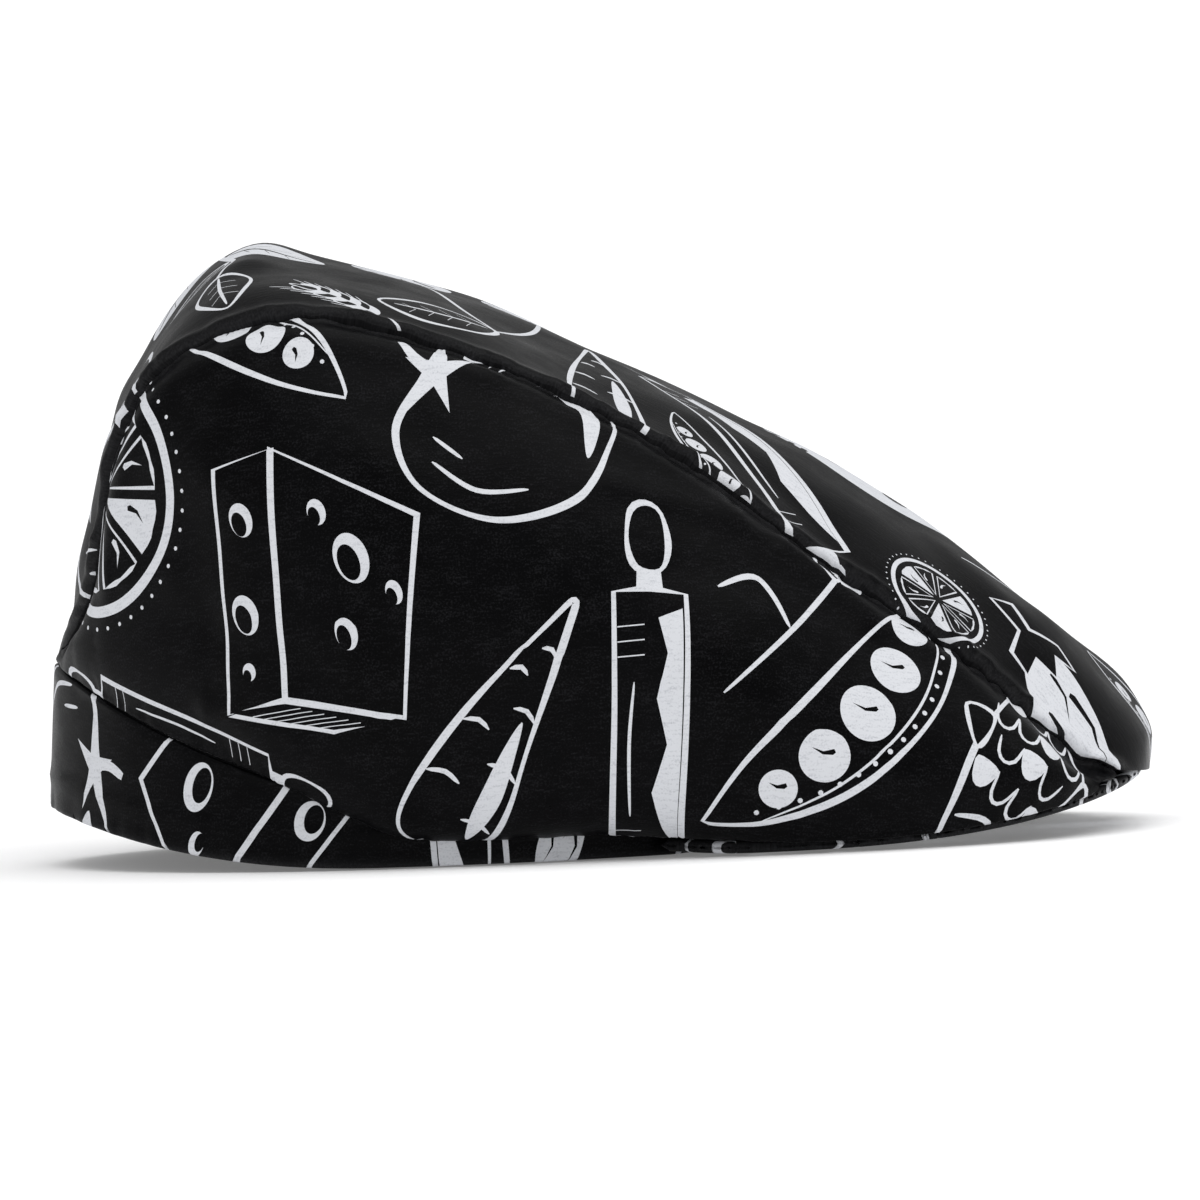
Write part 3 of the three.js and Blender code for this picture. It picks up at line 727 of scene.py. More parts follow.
def teeth(line, count, length, width, ink=BARE, lean=0.4, vary=0.45):
    """A row of pointed cuts to the left of a line."""
    line = spline(line)
    side = sideways(line)
    out = []
    for k in range(count):
        i = int((k + 0.5) / count * (len(line) - 1))
        along = np.array([side[i][1], -side[i][0]])
        reach = length * (1 - vary + vary * abs(math.sin(1.7 * k + 0.6)) * 2)
        tip = line[i] + side[i] * reach + along * reach * lean
        out += cut(line[i] - side[i] * width * 0.4, tip, width, ink, 0.06)
    return out


def dot(x, y, r=0.6, ink=INK):
    a = np.linspace(0, 2 * math.pi, 7 if r < 1 else 12, endpoint=False)
    return [(ink, np.stack([x + r * np.cos(a), y + r * np.sin(a)], 1))]


def oval(x, y, rx, ry, turn=0.0, steps=20):
    a = np.linspace(0, 2 * math.pi, steps, endpoint=False)
    c, s = math.cos(math.radians(turn)), math.sin(math.radians(turn))
    return np.stack([x + rx * np.cos(a) * c - ry * np.sin(a) * s,
                     y + rx * np.cos(a) * s + ry * np.sin(a) * c], 1)


def placed(shapes, x, y, turn=0.0, size=1.0, flip=False):
    """Shapes moved, turned and scaled."""
    c, s = math.cos(math.radians(turn)) * size, math.sin(math.radians(turn)) * size
    m = np.array([[c, s], [-s, c]])
    if flip:
        m = np.array([[-1, 0], [0, 1]]) @ m
    return [(ink, shape @ m + (x, y)) for ink, shape in shapes]


print("a row of five teeth has", len(teeth([(0, 0), (20, 0)], 5, 6, 2)), "shapes")

# %% Aubergine, pea pod, carrot and mushroom
def aubergine():
    shapes = solid([(-7, 22), (-15, 12), (-22, -4), (-23, -22), (-13, -36), (2, -39), (16, -32), (21, -16),
                    (17, 2), (9, 14), (6, 22)])
    shapes += teeth([(12, 12), (17, 0), (20, -16), (16, -30), (6, -37)], 9, 9, 2.4, lean=-0.9)
    shapes += cuts(((-9, 12), (-17, -6), 2.2), ((-14, 0), (-19, -20), 2.6), ((-6, 2), (-11, -16), 1.6),
                   ((-2, -10), (-7, -28), 1.8), ((-15, -26), (-7, -35), 1.6))
    shapes += outline([(-11, 24), (-17, 12), (-9, 17), (-7, 6), (-1, 15), (4, 6), (6, 16), (15, 11), (10, 22),
                       (4, 27), (3, 37), (-3, 38), (-3, 28)], 1.1, curved=False)
    return shapes + strokes(0.7, [(-7, 22), (-11, 16)], [(-2, 24), (-4, 13)], [(3, 23), (5, 13)])


def pea_pod():
    top = [(-40, 2), (-28, 10), (-8, 14), (14, 12), (30, 5), (40, -4)]
    low = [(38, -6), (24, -8), (4, -7), (-18, -5), (-34, -1)]
    shapes = outline(top + low, 1.2)
    for x, r in ((-24, 4.2), (-12, 5.4), (1, 5.9), (14, 5.2), (25, 3.9)):
        y = 3.6 - 0.0052 * (x - 1) ** 2
        shapes += solid(oval(x, y, r, r)) + cut((x - r * 0.35, y + r * 0.15), (x + r * 0.1, y - r * 0.6), 1.2)
    shapes += stroke([(-36, 1), (-22, 8), (-4, 11), (16, 9), (32, 3)], 0.6)
    for k in range(17):
        x = -31 + k * 3.9
        shapes += dot(x, 12.3 - 0.0094 * (x + 2) ** 2 - 0.03 * x, 0.55)
    shapes += stroke([(-39, 2), (-45, 6), (-50, 5)], 1.3)
    return shapes + outline([(-38, 3), (-43, 12), (-34, 8)], 0.9)


def carrot():
    shapes = outline([(-9, 18), (-10, 8), (-6, -12), (-1, -34), (1, -40), (3, -33), (8, -10), (10, 8),
                      (8, 18), (0, 21)], 1.2)
    for y, a, b in ((10, -9, -2), (3, 9, 2), (-3, -7.6, -1), (-9, 7.4, 2), (-15, -5, 0), (-22, 4.6, 1),
                    (-28, -2, 1.4)):
        shapes += stroke([(a, y), ((a + b) / 2, y - 1.4), (b, y - 0.6)], 1.0)
    shapes += solid([(-6, 14), (-7, 2), (-3, -14), (-2.4, -4), (-3.4, 8)])
    for x, y in ((-9, 36), (1, 42), (10, 35)):
        shapes += stroke([(x * 0.2, 19), (x * 0.7, 28), (x, y)], 1.1)
        for k in range(4):
            t = 0.42 + 0.17 * k
            px, py = x * (0.1 + 0.9 * t), 19 + (y - 19) * t
            for lean in (-4.2, 4.2):
                shapes += cut((px, py), (px + lean, py + 3.6), 1.5, INK)
    return shapes


def mushroom():
    shapes = outline([(-7, 2), (-7, -12), (-9, -22), (0, -26), (9, -22), (7, -12), (7, 2)], 1.1)
    shapes += stroke([(-3, -2), (-3.4, -12), (-4.6, -19)], 0.8) + stroke([(2, -3), (2.4, -10)], 0.7)
    shapes += stroke([(5, -12), (6, -19)], 0.8)
    shapes += solid([(-26, 3), (-24, 16), (-12, 27), (4, 29), (19, 22), (27, 9), (26, 2), (12, -1),
                     (-12, -1)])
    for x, y, rx, ry in ((-12, 14, 4.6, 3.6), (3, 20, 3.6, 2.6), (14, 11, 4.0, 3.2), (-1, 8, 2.6, 1.9),
                         (-19, 6, 2.0, 1.6)):
        shapes += solid(oval(x, y, rx, ry, 15), BARE)
    shapes += teeth([(24, 14), (27, 8), (25, 2)], 4, 6, 1.6, lean=0.2)
    shapes += solid([(-24, 1.5), (0, 4), (24, 1), (20, -2.4), (0, -3.4), (-20, -2.2)], BARE)
    for k in range(13):
        x = -20 + k * 3.4
        shapes += stroke([(x * 0.98, 2.0), (x * 0.7, -2.2)], 0.6, curved=False)
    return shapes


print("an aubergine takes", len(aubergine()), "shapes")


# %% Lemon, chilli and tomato
def lemon():
    shapes = solid(oval(0, 0, 25, 25, steps=44)) + solid(oval(0, 0, 22.8, 22.8, steps=44), BARE)
    for k in range(9):
        a0, a1 = math.radians(40 * k + 4), math.radians(40 * k + 36)
        arc = [(19.6 * math.cos(a), 19.6 * math.sin(a)) for a in np.linspace(a0, a1, 7)]
        mid = (a0 + a1) / 2
        tip = (3.2 * math.cos(mid), 3.2 * math.sin(mid))
        shapes += outline([tip] + arc, 0.9, curved=False, fill=INK if k % 3 == 1 else BARE)
        inner = (12 * math.cos(mid + 0.12), 12 * math.sin(mid + 0.12))
        shapes += cut(inner, (17 * math.cos(mid), 17 * math.sin(mid)), 1.4, BARE if k % 3 == 1 else INK)
    for k in range(44):
        a = math.radians(k * 360 / 44)
        shapes += dot(27.3 * math.cos(a), 27.3 * math.sin(a), 0.45)
    return shapes


def chilli():
    shapes = solid([(-4, 17), (-9, 6), (-9, -8), (-3, -22), (9, -33), (22, -37), (14, -26), (9, -12), (9, 4),
                    (6, 16)])
    shapes += cuts(((4, 8), (5, -8), 2.0), ((-5, 4), (-5, -10), 1.5), ((0, -12), (7, -26), 1.8),
                   ((1, 13), (0, 2), 1.2))
    return shapes + outline([(-7, 19), (-6, 13), (-1, 17), (2, 12), (5, 17), (9, 14), (8, 20), (2, 24),
                             (3, 31), (-2, 33), (-1, 24)], 1.0, curved=False)


def tomato():
    shapes = outline([(-3, 17), (-15, 17), (-24, 8), (-24, -8), (-14, -20), (0, -22), (14, -20), (24, -8),
                      (24, 8), (15, 17), (3, 17)], 1.3)
    shapes += solid([(8, 12), (17, 10), (20, 0), (18, -10), (8, -18), (-4, -19), (8, -13), (13, -4), (12, 5)])
    shapes += teeth([(15, -12), (16, -2), (13, 8)], 6, 5, 1.6, INK, lean=0.5)
    shapes += stroke([(-18, 8), (-20, -2), (-16, -11)], 1.0) + stroke([(-13, 10), (-15, 3)], 0.8)
    star = []
    for k in range(10):
        a, r = math.radians(90 + 36 * k), (12 if k % 2 == 0 else 3.2)
        star.append((r * math.cos(a), 15 + 0.6 * r * math.sin(a)))
    return shapes + solid(star, curved=False) + stroke([(0, 16), (1, 21), (4, 25)], 2.0, 0.7)


print("a lemon takes", len(lemon()), "shapes")


# %% Sprig, wheat and cherries
def sprig():
    shapes = stroke([(-4, -34), (0, -18), (1, 0), (-2, 18), (2, 32)], 1.2)
    for x, y, turn, size, full in ((-1, -18, 50, 1.0, False), (1, -10, -48, 1.05, True),
                                   (0, 4, 55, 0.95, True), (0, 12, -50, 0.9, False), (1, 30, 4, 0.85, False)):
        blade = [(0, 0), (-6, 7), (-6.5, 15), (0, 25), (6.5, 15), (6, 7)]
        leaf = solid(blade) if full else outline(blade, 1.0)
        vein = BARE if full else INK
        leaf += stroke([(0, 1), (0.6, 12), (0, 23)], 0.9, ink=vein)
        for start in (5, 10, 15):
            ribs = ([(0.3, start), (end, start + 4)] for end in (3.6, -3.6))
            leaf += strokes(0.7, *ribs, ink=vein, curved=False)
        shapes += placed(leaf, x, y, turn, size)
    return shapes


def wheat():
    shapes = stroke([(-8, -42), (-3, -20), (0, 4), (0, 30)], 1.2)
    for k in range(7):
        y = -4 + 5.6 * k
        for side in (-1, 1):
            grain = [(0, 0), (side * 4.4, 3), (side * 5.4, 9), (side * 2.2, 12), (0, 6)]
            full = (k + (side > 0)) % 2
            shapes += placed(solid(grain) if full else outline(grain, 0.9), side * 0.5 + 0.2, y)
            shapes += stroke([(side * 4.6, y + 10), (side * 9, y + 20)], 0.6)
    shapes += outline([(-2.6, 34), (0, 45), (2.6, 34), (0, 30)], 0.9)
    return shapes + stroke([(-4, -22), (-14, -16), (-20, -24)], 1.4)


def cherries():
    shapes = strokes(1.1, [(-12, -4), (-6, 12), (6, 26)], [(12, -8), (10, 8), (6, 26)])
    for x, y, r in ((-13, -12, 10.5), (13, -17, 10.0)):
        shapes += solid(oval(x, y, r, r * 0.95, steps=26))
        shapes += cut((x - r * 0.5, y + r * 0.35), (x - r * 0.35, y - r * 0.5), 2.2)
        shapes += cut((x + r * 0.2, y + r * 0.9), (x + r * 0.1, y + r * 0.35), 1.4)
        shapes += teeth([(x + r * 0.6, y - r * 0.8), (x + r, y), (x + r * 0.7, y + r * 0.7)], 4, 4, 1.2,
                        lean=0.3)
    shapes += outline([(6, 26), (12, 33), (24, 33), (31, 24), (22, 20), (12, 21)], 1.0)
    shapes += stroke([(8, 26), (18, 27), (28, 25)], 0.7)
    for k in range(4):
        shapes += strokes(0.6, [(12 + 4 * k, 27), (14 + 4 * k, 30.5 - 0.4 * k)],
                          [(12 + 4 * k, 26.6), (14 + 4 * k, 23 + 0.3 * k)], curved=False)
    return shapes


print("a sprig takes", len(sprig()), "shapes")


# %% Teacup and fish
def teacup():
    shapes = outline([(18, 8), (29, 10), (31, 0), (24, -8), (16, -9)], 1.5)
    shapes += outline([(-22, 12), (-20, -4), (-13, -16), (0, -19), (13, -16), (20, -4), (22, 12)], 1.2)
    shapes += solid(oval(0, 12, 22, 5.2, steps=32)) + solid(oval(0, 12, 20.2, 3.9, steps=32), BARE)
    shapes += solid(oval(2, 11.4, 14, 2.2, steps=24))
    for row, y in enumerate((3.5, -1.5, -6.5)):
        for k in range(-3, 4):
            x = k * 5.2 + (row % 2) * 2.6
            if abs(x) < 17 - 2.2 * row:
                shapes += dot(x, y - 2.2 + 0.008 * (k * 5.2) ** 2, 0.75)
    shapes += solid([(-28, -19), (0, -17), (28, -19), (20, -25), (0, -27), (-20, -25)])
    shapes += solid([(-20, -20.5), (0, -19), (20, -20.5), (0, -22.5)], BARE)
    for x, flip in ((-8, 1), (1, -1), (10, 1)):
        shapes += stroke([(x, 20), (x + 4 * flip, 26), (x - 3 * flip, 32), (x + 2 * flip, 39)], 1.3, 0.1)
    return shapes


def fish():
    shapes = outline([(-26, 0), (-38, 13), (-42, 10), (-38, 0), (-42, -10), (-38, -13)], 1.1, curved=False)
    for y in (-7, -3.5, 0, 3.5, 7):
        shapes += stroke([(-29, y * 0.35), (-38, y)], 0.8, curved=False)
    shapes += outline([(-28, 0), (-14, 10), (6, 14), (24, 9), (35, 0), (24, -8), (6, -12), (-14, -8)], 1.2)
    shapes += outline([(-6, 12.6), (2, 21), (14, 18), (13, 12.6)], 1.0)
    shapes += outline([(-4, -10.6), (-2, -17), (6, -11.6)], 0.9)
    for k in range(6):
        shapes += stroke([(-1 + 2.6 * k, 13.6), (2.4 + 2.2 * k, 18.4)], 0.6, curved=False)
    shapes += stroke([(21, 8.5), (16.5, 0), (20, -7.6)], 1.3)
    shapes += solid(oval(26, 2.6, 2.6, 2.6)) + dot(26.6, 2.8, 1.1, BARE) + stroke([(33, -1), (28, -3.4)], 0.9)
    for row in range(4):
        for k in range(4 if row % 2 else 3):
            x, y = -14 + row * 8, (k - (1.5 if row % 2 else 1)) * 5.4
            scale = [(x - 2.6, y + 2.6), (x + 1.6, y + 1.9), (x + 3, y), (x + 1.6, y - 1.9),
                     (x - 2.6, y - 2.6)]
            shapes += stroke(scale, 0.8) if (row + k) % 3 else solid(scale)
    return shapes


print("a fish takes", len(fish()), "shapes")


# %% Cheese and rolling pin
def cheese():
    shapes = outline([(-28, -6), (20, -14), (28, 10), (-10, 20)], 1.2, curved=False)
    shapes += solid([(-28, -6), (20, -14), (20.5, -19), (-27.5, -11)], curved=False)
    shapes += outline([(-28, -6), (-27, -19), (20, -28), (20, -14)], 1.2, curved=False)
    shapes += outline([(20, -14), (20, -28), (28, -5), (28, 10)], 1.1, curved=False)
    for x, y, rx, ry in ((-4, 6, 5, 3.4), (10, 2, 3.2, 2.2), (-14, 1, 2.6, 1.8), (4, 13, 2.4, 1.6),
                         (-16, -15, 3.4, 2.6), (2, -19, 4.0, 3.2), (13, -21, 1.8, 1.6)):
        shapes += solid(oval(x, y, rx, ry, 10))
        shapes += solid(oval(x + 0.7, y - 0.6, rx * 0.72, ry * 0.62, 10), BARE)
    for k in range(6):
        shapes += stroke([(21.6 + k, -22 + 2.6 * k), (22.2 + k, -11 + 2.4 * k)], 0.7, curved=False)
    return shapes


def rolling_pin():
    shapes = outline([(-30, 7), (30, 7), (31, 0), (30, -7), (-30, -7), (-31, 0)], 1.2, curved=False)
    for side in (-1, 1):
        shapes += solid([(side * 31, 2.6), (side * 35, 2.4), (side * 35, -2.4), (side * 31, -2.6)],
                        curved=False)
        shapes += outline([(side * x, y) for x, y in ((35, 2.4), (40, 4.2), (47, 3.2), (49, 0), (47, -3.2),
                                                      (40, -4.2), (35, -2.4))], 1.1)
    shapes += solid([(-27, -6.2), (27, -6.2), (25, -1.5), (18, -3.2), (9, -1.2), (0, -3.4), (-10, -0.8),
                     (-19, -3.2)], curved=False)
    for x in (-24, -21, 17, 20, 23):
        shapes += stroke([(x, 6.4), (x + 0.6, 1.2)], 1.0, curved=False)
    return shapes + stroke([(-16, 3.4), (0, 4), (12, 3.2)], 0.7)


DOODLES = {draw.__name__: draw for draw in (aubergine, pea_pod, carrot, mushroom, lemon, chilli, tomato,
                                            sprig, wheat, cherries, teacup, fish, cheese, rolling_pin)}
print(len(DOODLES), "doodles drawn")

# %% [markdown]
# ## Laying out the print
# A printed cloth is cut wherever the pattern piece happens to lie, so doodles run off its edges. They
# stand at every angle with bare black between them. Each piece deals its own hand: large doodles first,
# then smaller ones into the gaps, each put where it lies closest to its neighbours without touching.

# %% Footprints
CLEAR = 4.0  # mm kept between two doodles
SIZES = (1.22, 1.0, 0.78, 0.56)
TRIES = 110  # places tried for each doodle
FOOT_STEP = 4  # mm between the points of a doodle's footprint
SEEDS = {"top": 5, "side_left": 3, "side_right": 11, "band": 2, "peak": 4}


def in_steps(polygon, step):
    """The same polygon with points along its long edges, so that they bend with the cloth."""
    return np.vstack([mix(a, b, np.linspace(0, 1, int(math.dist(a, b) / step) + 1, endpoint=False)[:, None])
                      for a, b in zip(polygon, np.roll(polygon, -1, 0))])


def footprint(shapes):
    """The convex outline of a doodle, with points at even steps."""
    points = np.vstack([shape for _, shape in shapes])
    corners = points[convex_hull_2d([Vector(p) for p in points.tolist()])]
    return in_steps(corners, FOOT_STEP)


FOOTPRINTS = {name: footprint(draw()) for name, draw in DOODLES.items()}


print("widest doodle", round(max(np.ptp(foot, axis=0).max() for foot in FOOTPRINTS.values())), "mm")


# %% Scattering the doodles
def clearance(foot, middle, reach, taken, enough):
    """Millimetres from an outline to the nearest taken one, or nothing where it is less than enough."""
    nearest = np.inf
    for other, centre, other_reach in taken:
        between = math.dist(middle, centre)
        if between - reach - other_reach > nearest:
            continue
        if between < enough or inside(foot[:1], other).any() or inside(other[:1], foot).any():
            return 0
        nearest = min(nearest, np.sqrt(((foot[:, None] - other[None]) ** 2).sum(-1).min()))
        if nearest < enough:
            return 0
    return nearest


def scattered(panel, border):
    """The doodles of one pattern piece as ink and bare polygons, first painted first."""
    deal = np.random.default_rng(SEEDS[panel])
    low, high = border.min(0), border.max(0)
    edge = border[::4]
    taken, shapes = [], []
    for size in SIZES:
        for name in deal.permutation(sorted(DOODLES)):
            reach = np.linalg.norm(FOOTPRINTS[name], axis=1).max() * size
            best = None
            spots = deal.uniform(low, high, (TRIES, 2))
            turns = deal.uniform(0, 360, TRIES)
            for spot, turn, within in zip(spots, turns, inside(spots, edge)):
                if not within:
                    continue
                foot = placed([(INK, FOOTPRINTS[name])], *spot, turn, size)[0][1]
                gap = clearance(foot, spot, reach, taken, CLEAR)
                if gap and (best is None or gap < best[0]):
                    best = gap, spot, turn, foot
            if best:
                shapes += placed(DOODLES[name](), *best[1], best[2], size)
                taken.append((best[3], best[1], reach))
    print(panel, len(taken), "doodles")
    return shapes


def inside(points, polygon):
    """Which points lie in a polygon, by counting crossings."""
    ax, ay = polygon[:, 0], polygon[:, 1]
    bx, by = np.roll(ax, -1), np.roll(ay, -1)
    x, y = points[:, :1], points[:, 1:]
    spans = (ay > y) != (by > y)
    slope = np.where(by == ay, 1e-9, by - ay)
    return (np.sum(spans & (x < ax + (y - ay) * (bx - ax) / slope), axis=1) % 2).astype(bool)


def inked(points, shapes):
    """1 where the print is white, by painting the shapes in turn."""
    ink = np.zeros(len(points))
    for value, polygon in shapes:
        (x0, y0), (x1, y1) = polygon.min(0), polygon.max(0)
        x, y = points.T
        near = np.flatnonzero((x > x0) & (x < x1) & (y > y0) & (y < y1))
        if len(near):
            ink[near[inside(points[near], polygon)]] = value
    return ink


square = np.array([(0.0, 0.0), (50.0, 0.0), (50.0, 50.0), (0.0, 50.0)])
ink_in, ink_beside = inked(np.array([(25.0, 25.0), (60.0, 25.0)]), [(INK, square)])
print("ink at the middle of a square", ink_in, "and beside it", ink_beside)

# %% [markdown]
# ## From pattern to mesh
# The pattern's outline, the doodles' outlines and a lattice of points are joined into triangles, so the
# print's edges are edges of the mesh and stay crisp from any distance. Each triangle then knows whether
# it is inked. The back of the cloth is the same net, a wall further in, and a strip closes the rim.

# %% Triangles of a pattern piece
LATTICE, ROW = 2.1, 0.866  # mm between the points of the cloth's own net, and its rows' share of that
CLOSE, SLIVER = 1e-4, 1e-5  # mm between points that count as one, and mm2 of a triangle that is dropped


def lattice(border):
    """Points of an even net of triangles inside a border."""
    low, high = border.min(0), border.max(0)
    rows = np.arange(low[1], high[1], LATTICE * ROW)
    x, y = np.meshgrid(np.arange(low[0], high[0], LATTICE), rows)
    x = x + (np.arange(len(rows)) % 2)[:, None] * LATTICE / 2
    net = np.stack([x.ravel(), y.ravel()], -1)
    return net[inside(net, border)]


def crossed(points, faces):
    """Each triangle's way out, twice its area long. On a flat net it is a number."""
    a, b, c = (points[faces[:, k]] for k in range(3))
    return np.cross(b - a, c - a)


def triangles(border, shapes, inner_points):
    """Flat vertices, triangles and ink of a pattern piece."""
    low, high = border.min(0), border.max(0)
    loops = [border] + [in_steps(polygon, LATTICE) for _, polygon in shapes
                        if (polygon.max(0) >= low).all() and (polygon.min(0) <= high).all()]
    points, edges, count = np.concatenate(loops + [inner_points]), [], 0
    for loop in loops:
        at = np.arange(len(loop)) + count
        edges.append(np.stack([at, np.roll(at, -1)], -1))
        count += len(loop)
    made = delaunay_2d_cdt([Vector(p) for p in points.tolist()], np.concatenate(edges).tolist(), [], 1,
                           CLOSE, False)
    flat = np.array([(v.x, v.y) for v in made[0]])
    faces = np.array([f for f in made[2] if len(f) == 3])
    centres = flat[faces].mean(1)
    keep = inside(centres, border) & (np.abs(crossed(flat, faces)) > 2 * SLIVER)
    faces, centres = faces[keep], centres[keep]
    used, faces = np.unique(faces, return_inverse=True)
    return flat[used], faces.reshape(-1, 3), inked(centres, shapes)


print("the net of a 50 mm square has", len(lattice(square)), "points")


# %% Places on the surface for flat points
class Unfolding:
    """Leads from flat places back to places on the surface, through the unwrapped grid."""

    def __init__(self, share, place, flat):
        rows, columns = share.shape
        at = np.arange(rows * columns).reshape(rows, columns)
        a, b, c, d = at[:-1, :-1].ravel(), at[1:, :-1].ravel(), at[1:, 1:].ravel(), at[:-1, 1:].ravel()
        self.faces = np.concatenate([np.stack([a, b, c], -1), np.stack([a, c, d], -1)])
        self.flat = flat.reshape(-1, 2)
        self.where = np.stack([share.ravel(), place.ravel()], -1)
        self.grid = share, place, flat
        self.tree = BVHTree.FromPolygons([(x, y, 0) for x, y in self.flat.tolist()], self.faces.tolist())

    def places(self, points):
        """Places on the surface of flat points."""
        hits = [self.tree.find_nearest((x, y, 0)) for x, y in points.tolist()]
        near = np.array([(hit[0].x, hit[0].y) for hit in hits])
        faces = self.faces[[hit[2] for hit in hits]]
        a, b, c = (self.flat[faces[:, k]] for k in range(3))
        whole = np.cross(b - a, c - a)
        v, w = np.cross(near - a, c - a) / whole, np.cross(b - a, near - a) / whole
        weight = np.clip(np.stack([1 - v - w, v, w], -1), 0, 1)
        return np.einsum("nk,nkd->nd", weight / weight.sum(1, keepdims=True), self.where[faces])

    def flattened(self, share, place):
        """Flat places of places on the surface, for points on the grid's own net."""
        shares, places, flat = self.grid
        rows, columns = (count - 1 for count in shares.shape)
        span = places[0, -1] - places[0, 0]
        i = np.clip(np.asarray(share) * rows, 0, rows - 1e-6)
        j = np.clip((np.asarray(place) - places[0, 0]) / span * columns, 0, columns - 1e-6)
        fi, fj = i.astype(int), j.astype(int)
        u, v = (i - fi)[:, None], (j - fj)[:, None]
        return mix(mix(flat[fi, fj], flat[fi + 1, fj], u), mix(flat[fi, fj + 1], flat[fi + 1, fj + 1], u), v)


UNFOLDINGS = {panel: Unfolding(*PATTERNS[panel]) for panel in PANELS}
middle = np.array([PATTERNS["top"][2].mean((0, 1))])
print("the middle of the top pattern lies at share and place", UNFOLDINGS["top"].places(middle)[0].round(2))


# %% A closed shell of cloth
def put(data, name, values, kind=np.float32):
    data.foreach_set(name, np.asarray(values).astype(kind).ravel())


def bake_places(flat):
    """Places on a square sheet, for the export's textures: the outer face, and a smaller inner one."""
    leaf = (flat - flat.min(0)) / np.ptp(flat, axis=0).max()
    lying = leaf[:, ::-1] if np.ptp(leaf[:, 0]) < np.ptp(leaf[:, 1]) else leaf
    tall = np.ptp(lying[:, 1])
    room = 0.98 / max(1.25 * tall, 1)
    reverse = np.stack([lying[:, 0] * room, (lying[:, 1] * 0.2 + tall * 1.02) * room], -1)
    return np.concatenate([lying * room + 0.01, np.minimum(reverse + 0.01, 0.995)])


def cloth_object(name, outer, outer_way, inner, inner_way, net, wear, reverse_ink=None):
    """A piece with an outer and an inner face over the same flat net, closed along its rim."""
    flat, faces, ink = net
    count = len(outer)
    directed = np.concatenate([faces[:, [0, 1]], faces[:, [1, 2]], faces[:, [2, 0]]])
    key = directed[:, 0] * count + directed[:, 1]
    a, b = directed[~np.isin(directed[:, 1] * count + directed[:, 0], key)].T
    strip = np.concatenate([np.stack([b, a, a + count], -1), np.stack([b, a + count, b + count], -1)])
    every = np.concatenate([faces, faces[:, ::-1] + count, strip])
    points = np.concatenate([outer, inner]) + SHIFT
    mesh = bpy.data.meshes.new(name)
    mesh.vertices.add(len(points))
    put(mesh.vertices, "co", points * MM)
    mesh.loops.add(every.size)
    put(mesh.loops, "vertex_index", every, np.int32)
    mesh.polygons.add(len(every))
    put(mesh.polygons, "loop_start", np.arange(0, every.size, 3), np.int32)
    mesh.update(calc_edges=True)
    plain, of_strip = reverse_ink is None, np.zeros(len(strip))
    reverse = np.zeros(len(faces)) if plain else reverse_ink
    slots = np.concatenate([np.zeros(len(faces)), np.full(len(faces), int(plain)), of_strip])
    put(mesh.attributes.new("ink", "FLOAT", "FACE").data, "value", np.concatenate([ink, reverse, of_strip]))
    put(mesh.attributes.new("wear", "FLOAT", "POINT").data, "value", np.concatenate([wear, wear]))
    put(mesh.polygons, "material_index", slots, np.int32)
    put(mesh.polygons, "use_smooth", np.ones(len(every)), bool)
    for layer, places in (("thread", np.concatenate([flat, flat]) * MM), ("OFBake", bake_places(flat))):
        put(mesh.uv_layers.new(name=layer).uv, "vector", places[every.ravel()])
    mesh.uv_layers.active = mesh.uv_layers["thread"]
    strip_way = np.repeat(unit(crossed(points, strip))[:, None], 3, axis=1)
    ways = np.concatenate([outer_way[faces], inner_way[faces[:, ::-1]], strip_way])
    mesh.normals_split_custom_set(ways.reshape(-1, 3).tolist())
    mesh.update()
    piece = bpy.data.objects.new(name, mesh)
    bpy.context.scene.collection.objects.link(piece)
    print(name, len(every), "triangles, ink", round(float(ink.mean()), 2))
    return piece


def sewn(name, outer, outer_way, inner, inner_way, net, wear, reverse_ink=None):
    """The piece, with the size and area of its flat pattern in metres."""
    flat, faces, ink = net
    if np.median(np.sum(crossed(outer, faces) * outer_way[faces].sum(1), axis=1)) < 0:
        faces = faces[:, ::-1]
    piece = cloth_object(name, outer, outer_way, inner, inner_way, (flat, faces, ink), wear, reverse_ink)
    return piece, np.ptp(flat, axis=0) * MM, np.abs(crossed(flat, faces)).sum() / 2 * MM ** 2


# %% [markdown]
# ## The crown's panels
# The top panel and the two side panels are cut from their patterns, folded onto the crown and closed
# into thin shells. Extra rows of points follow the seams and the rim, where the edges roll in.

# %% Crown panels
SEAM_ROWS = (0.3, 0.62, 1.0, 1.5, 2.2, 3.1, 4.2, 5.6)
RIM_ROWS = (0.3, 0.6, 0.95, 1.5, 2.4)
FREE_OF_SEAM, FREE_OF_RIM = SEAM_ROWS[-1] + 0.7, RIM_ROWS[-1] + 0.9  # mm, where the lattice begins
ALONG = 1.5  # mm between points along a seam
EDGE_GAP = 0.06  # mm of each panel left off at a seam
ALLOWANCE = 1.2  # mm more wall at a seam, where the edges are turned in


def along_shares(length):
    """Shares at even steps of a length table."""
    return np.interp(np.linspace(0, length[-1], max(8, round(length[-1] / ALONG))), length, EDGE_SHARES)


def beside(panel, value, shares, distance):
    """Places at a distance inside one long edge of a panel."""
    low, high = PANELS[panel]
    table = RIM_SPEED if abs(value) != 1 else SEAM_SPEED_TOP if panel == "top" else SEAM_SPEED_SIDE
    return value + np.sign((low + high) / 2 - value) * distance / np.maximum(at_share(shares, table), 1)


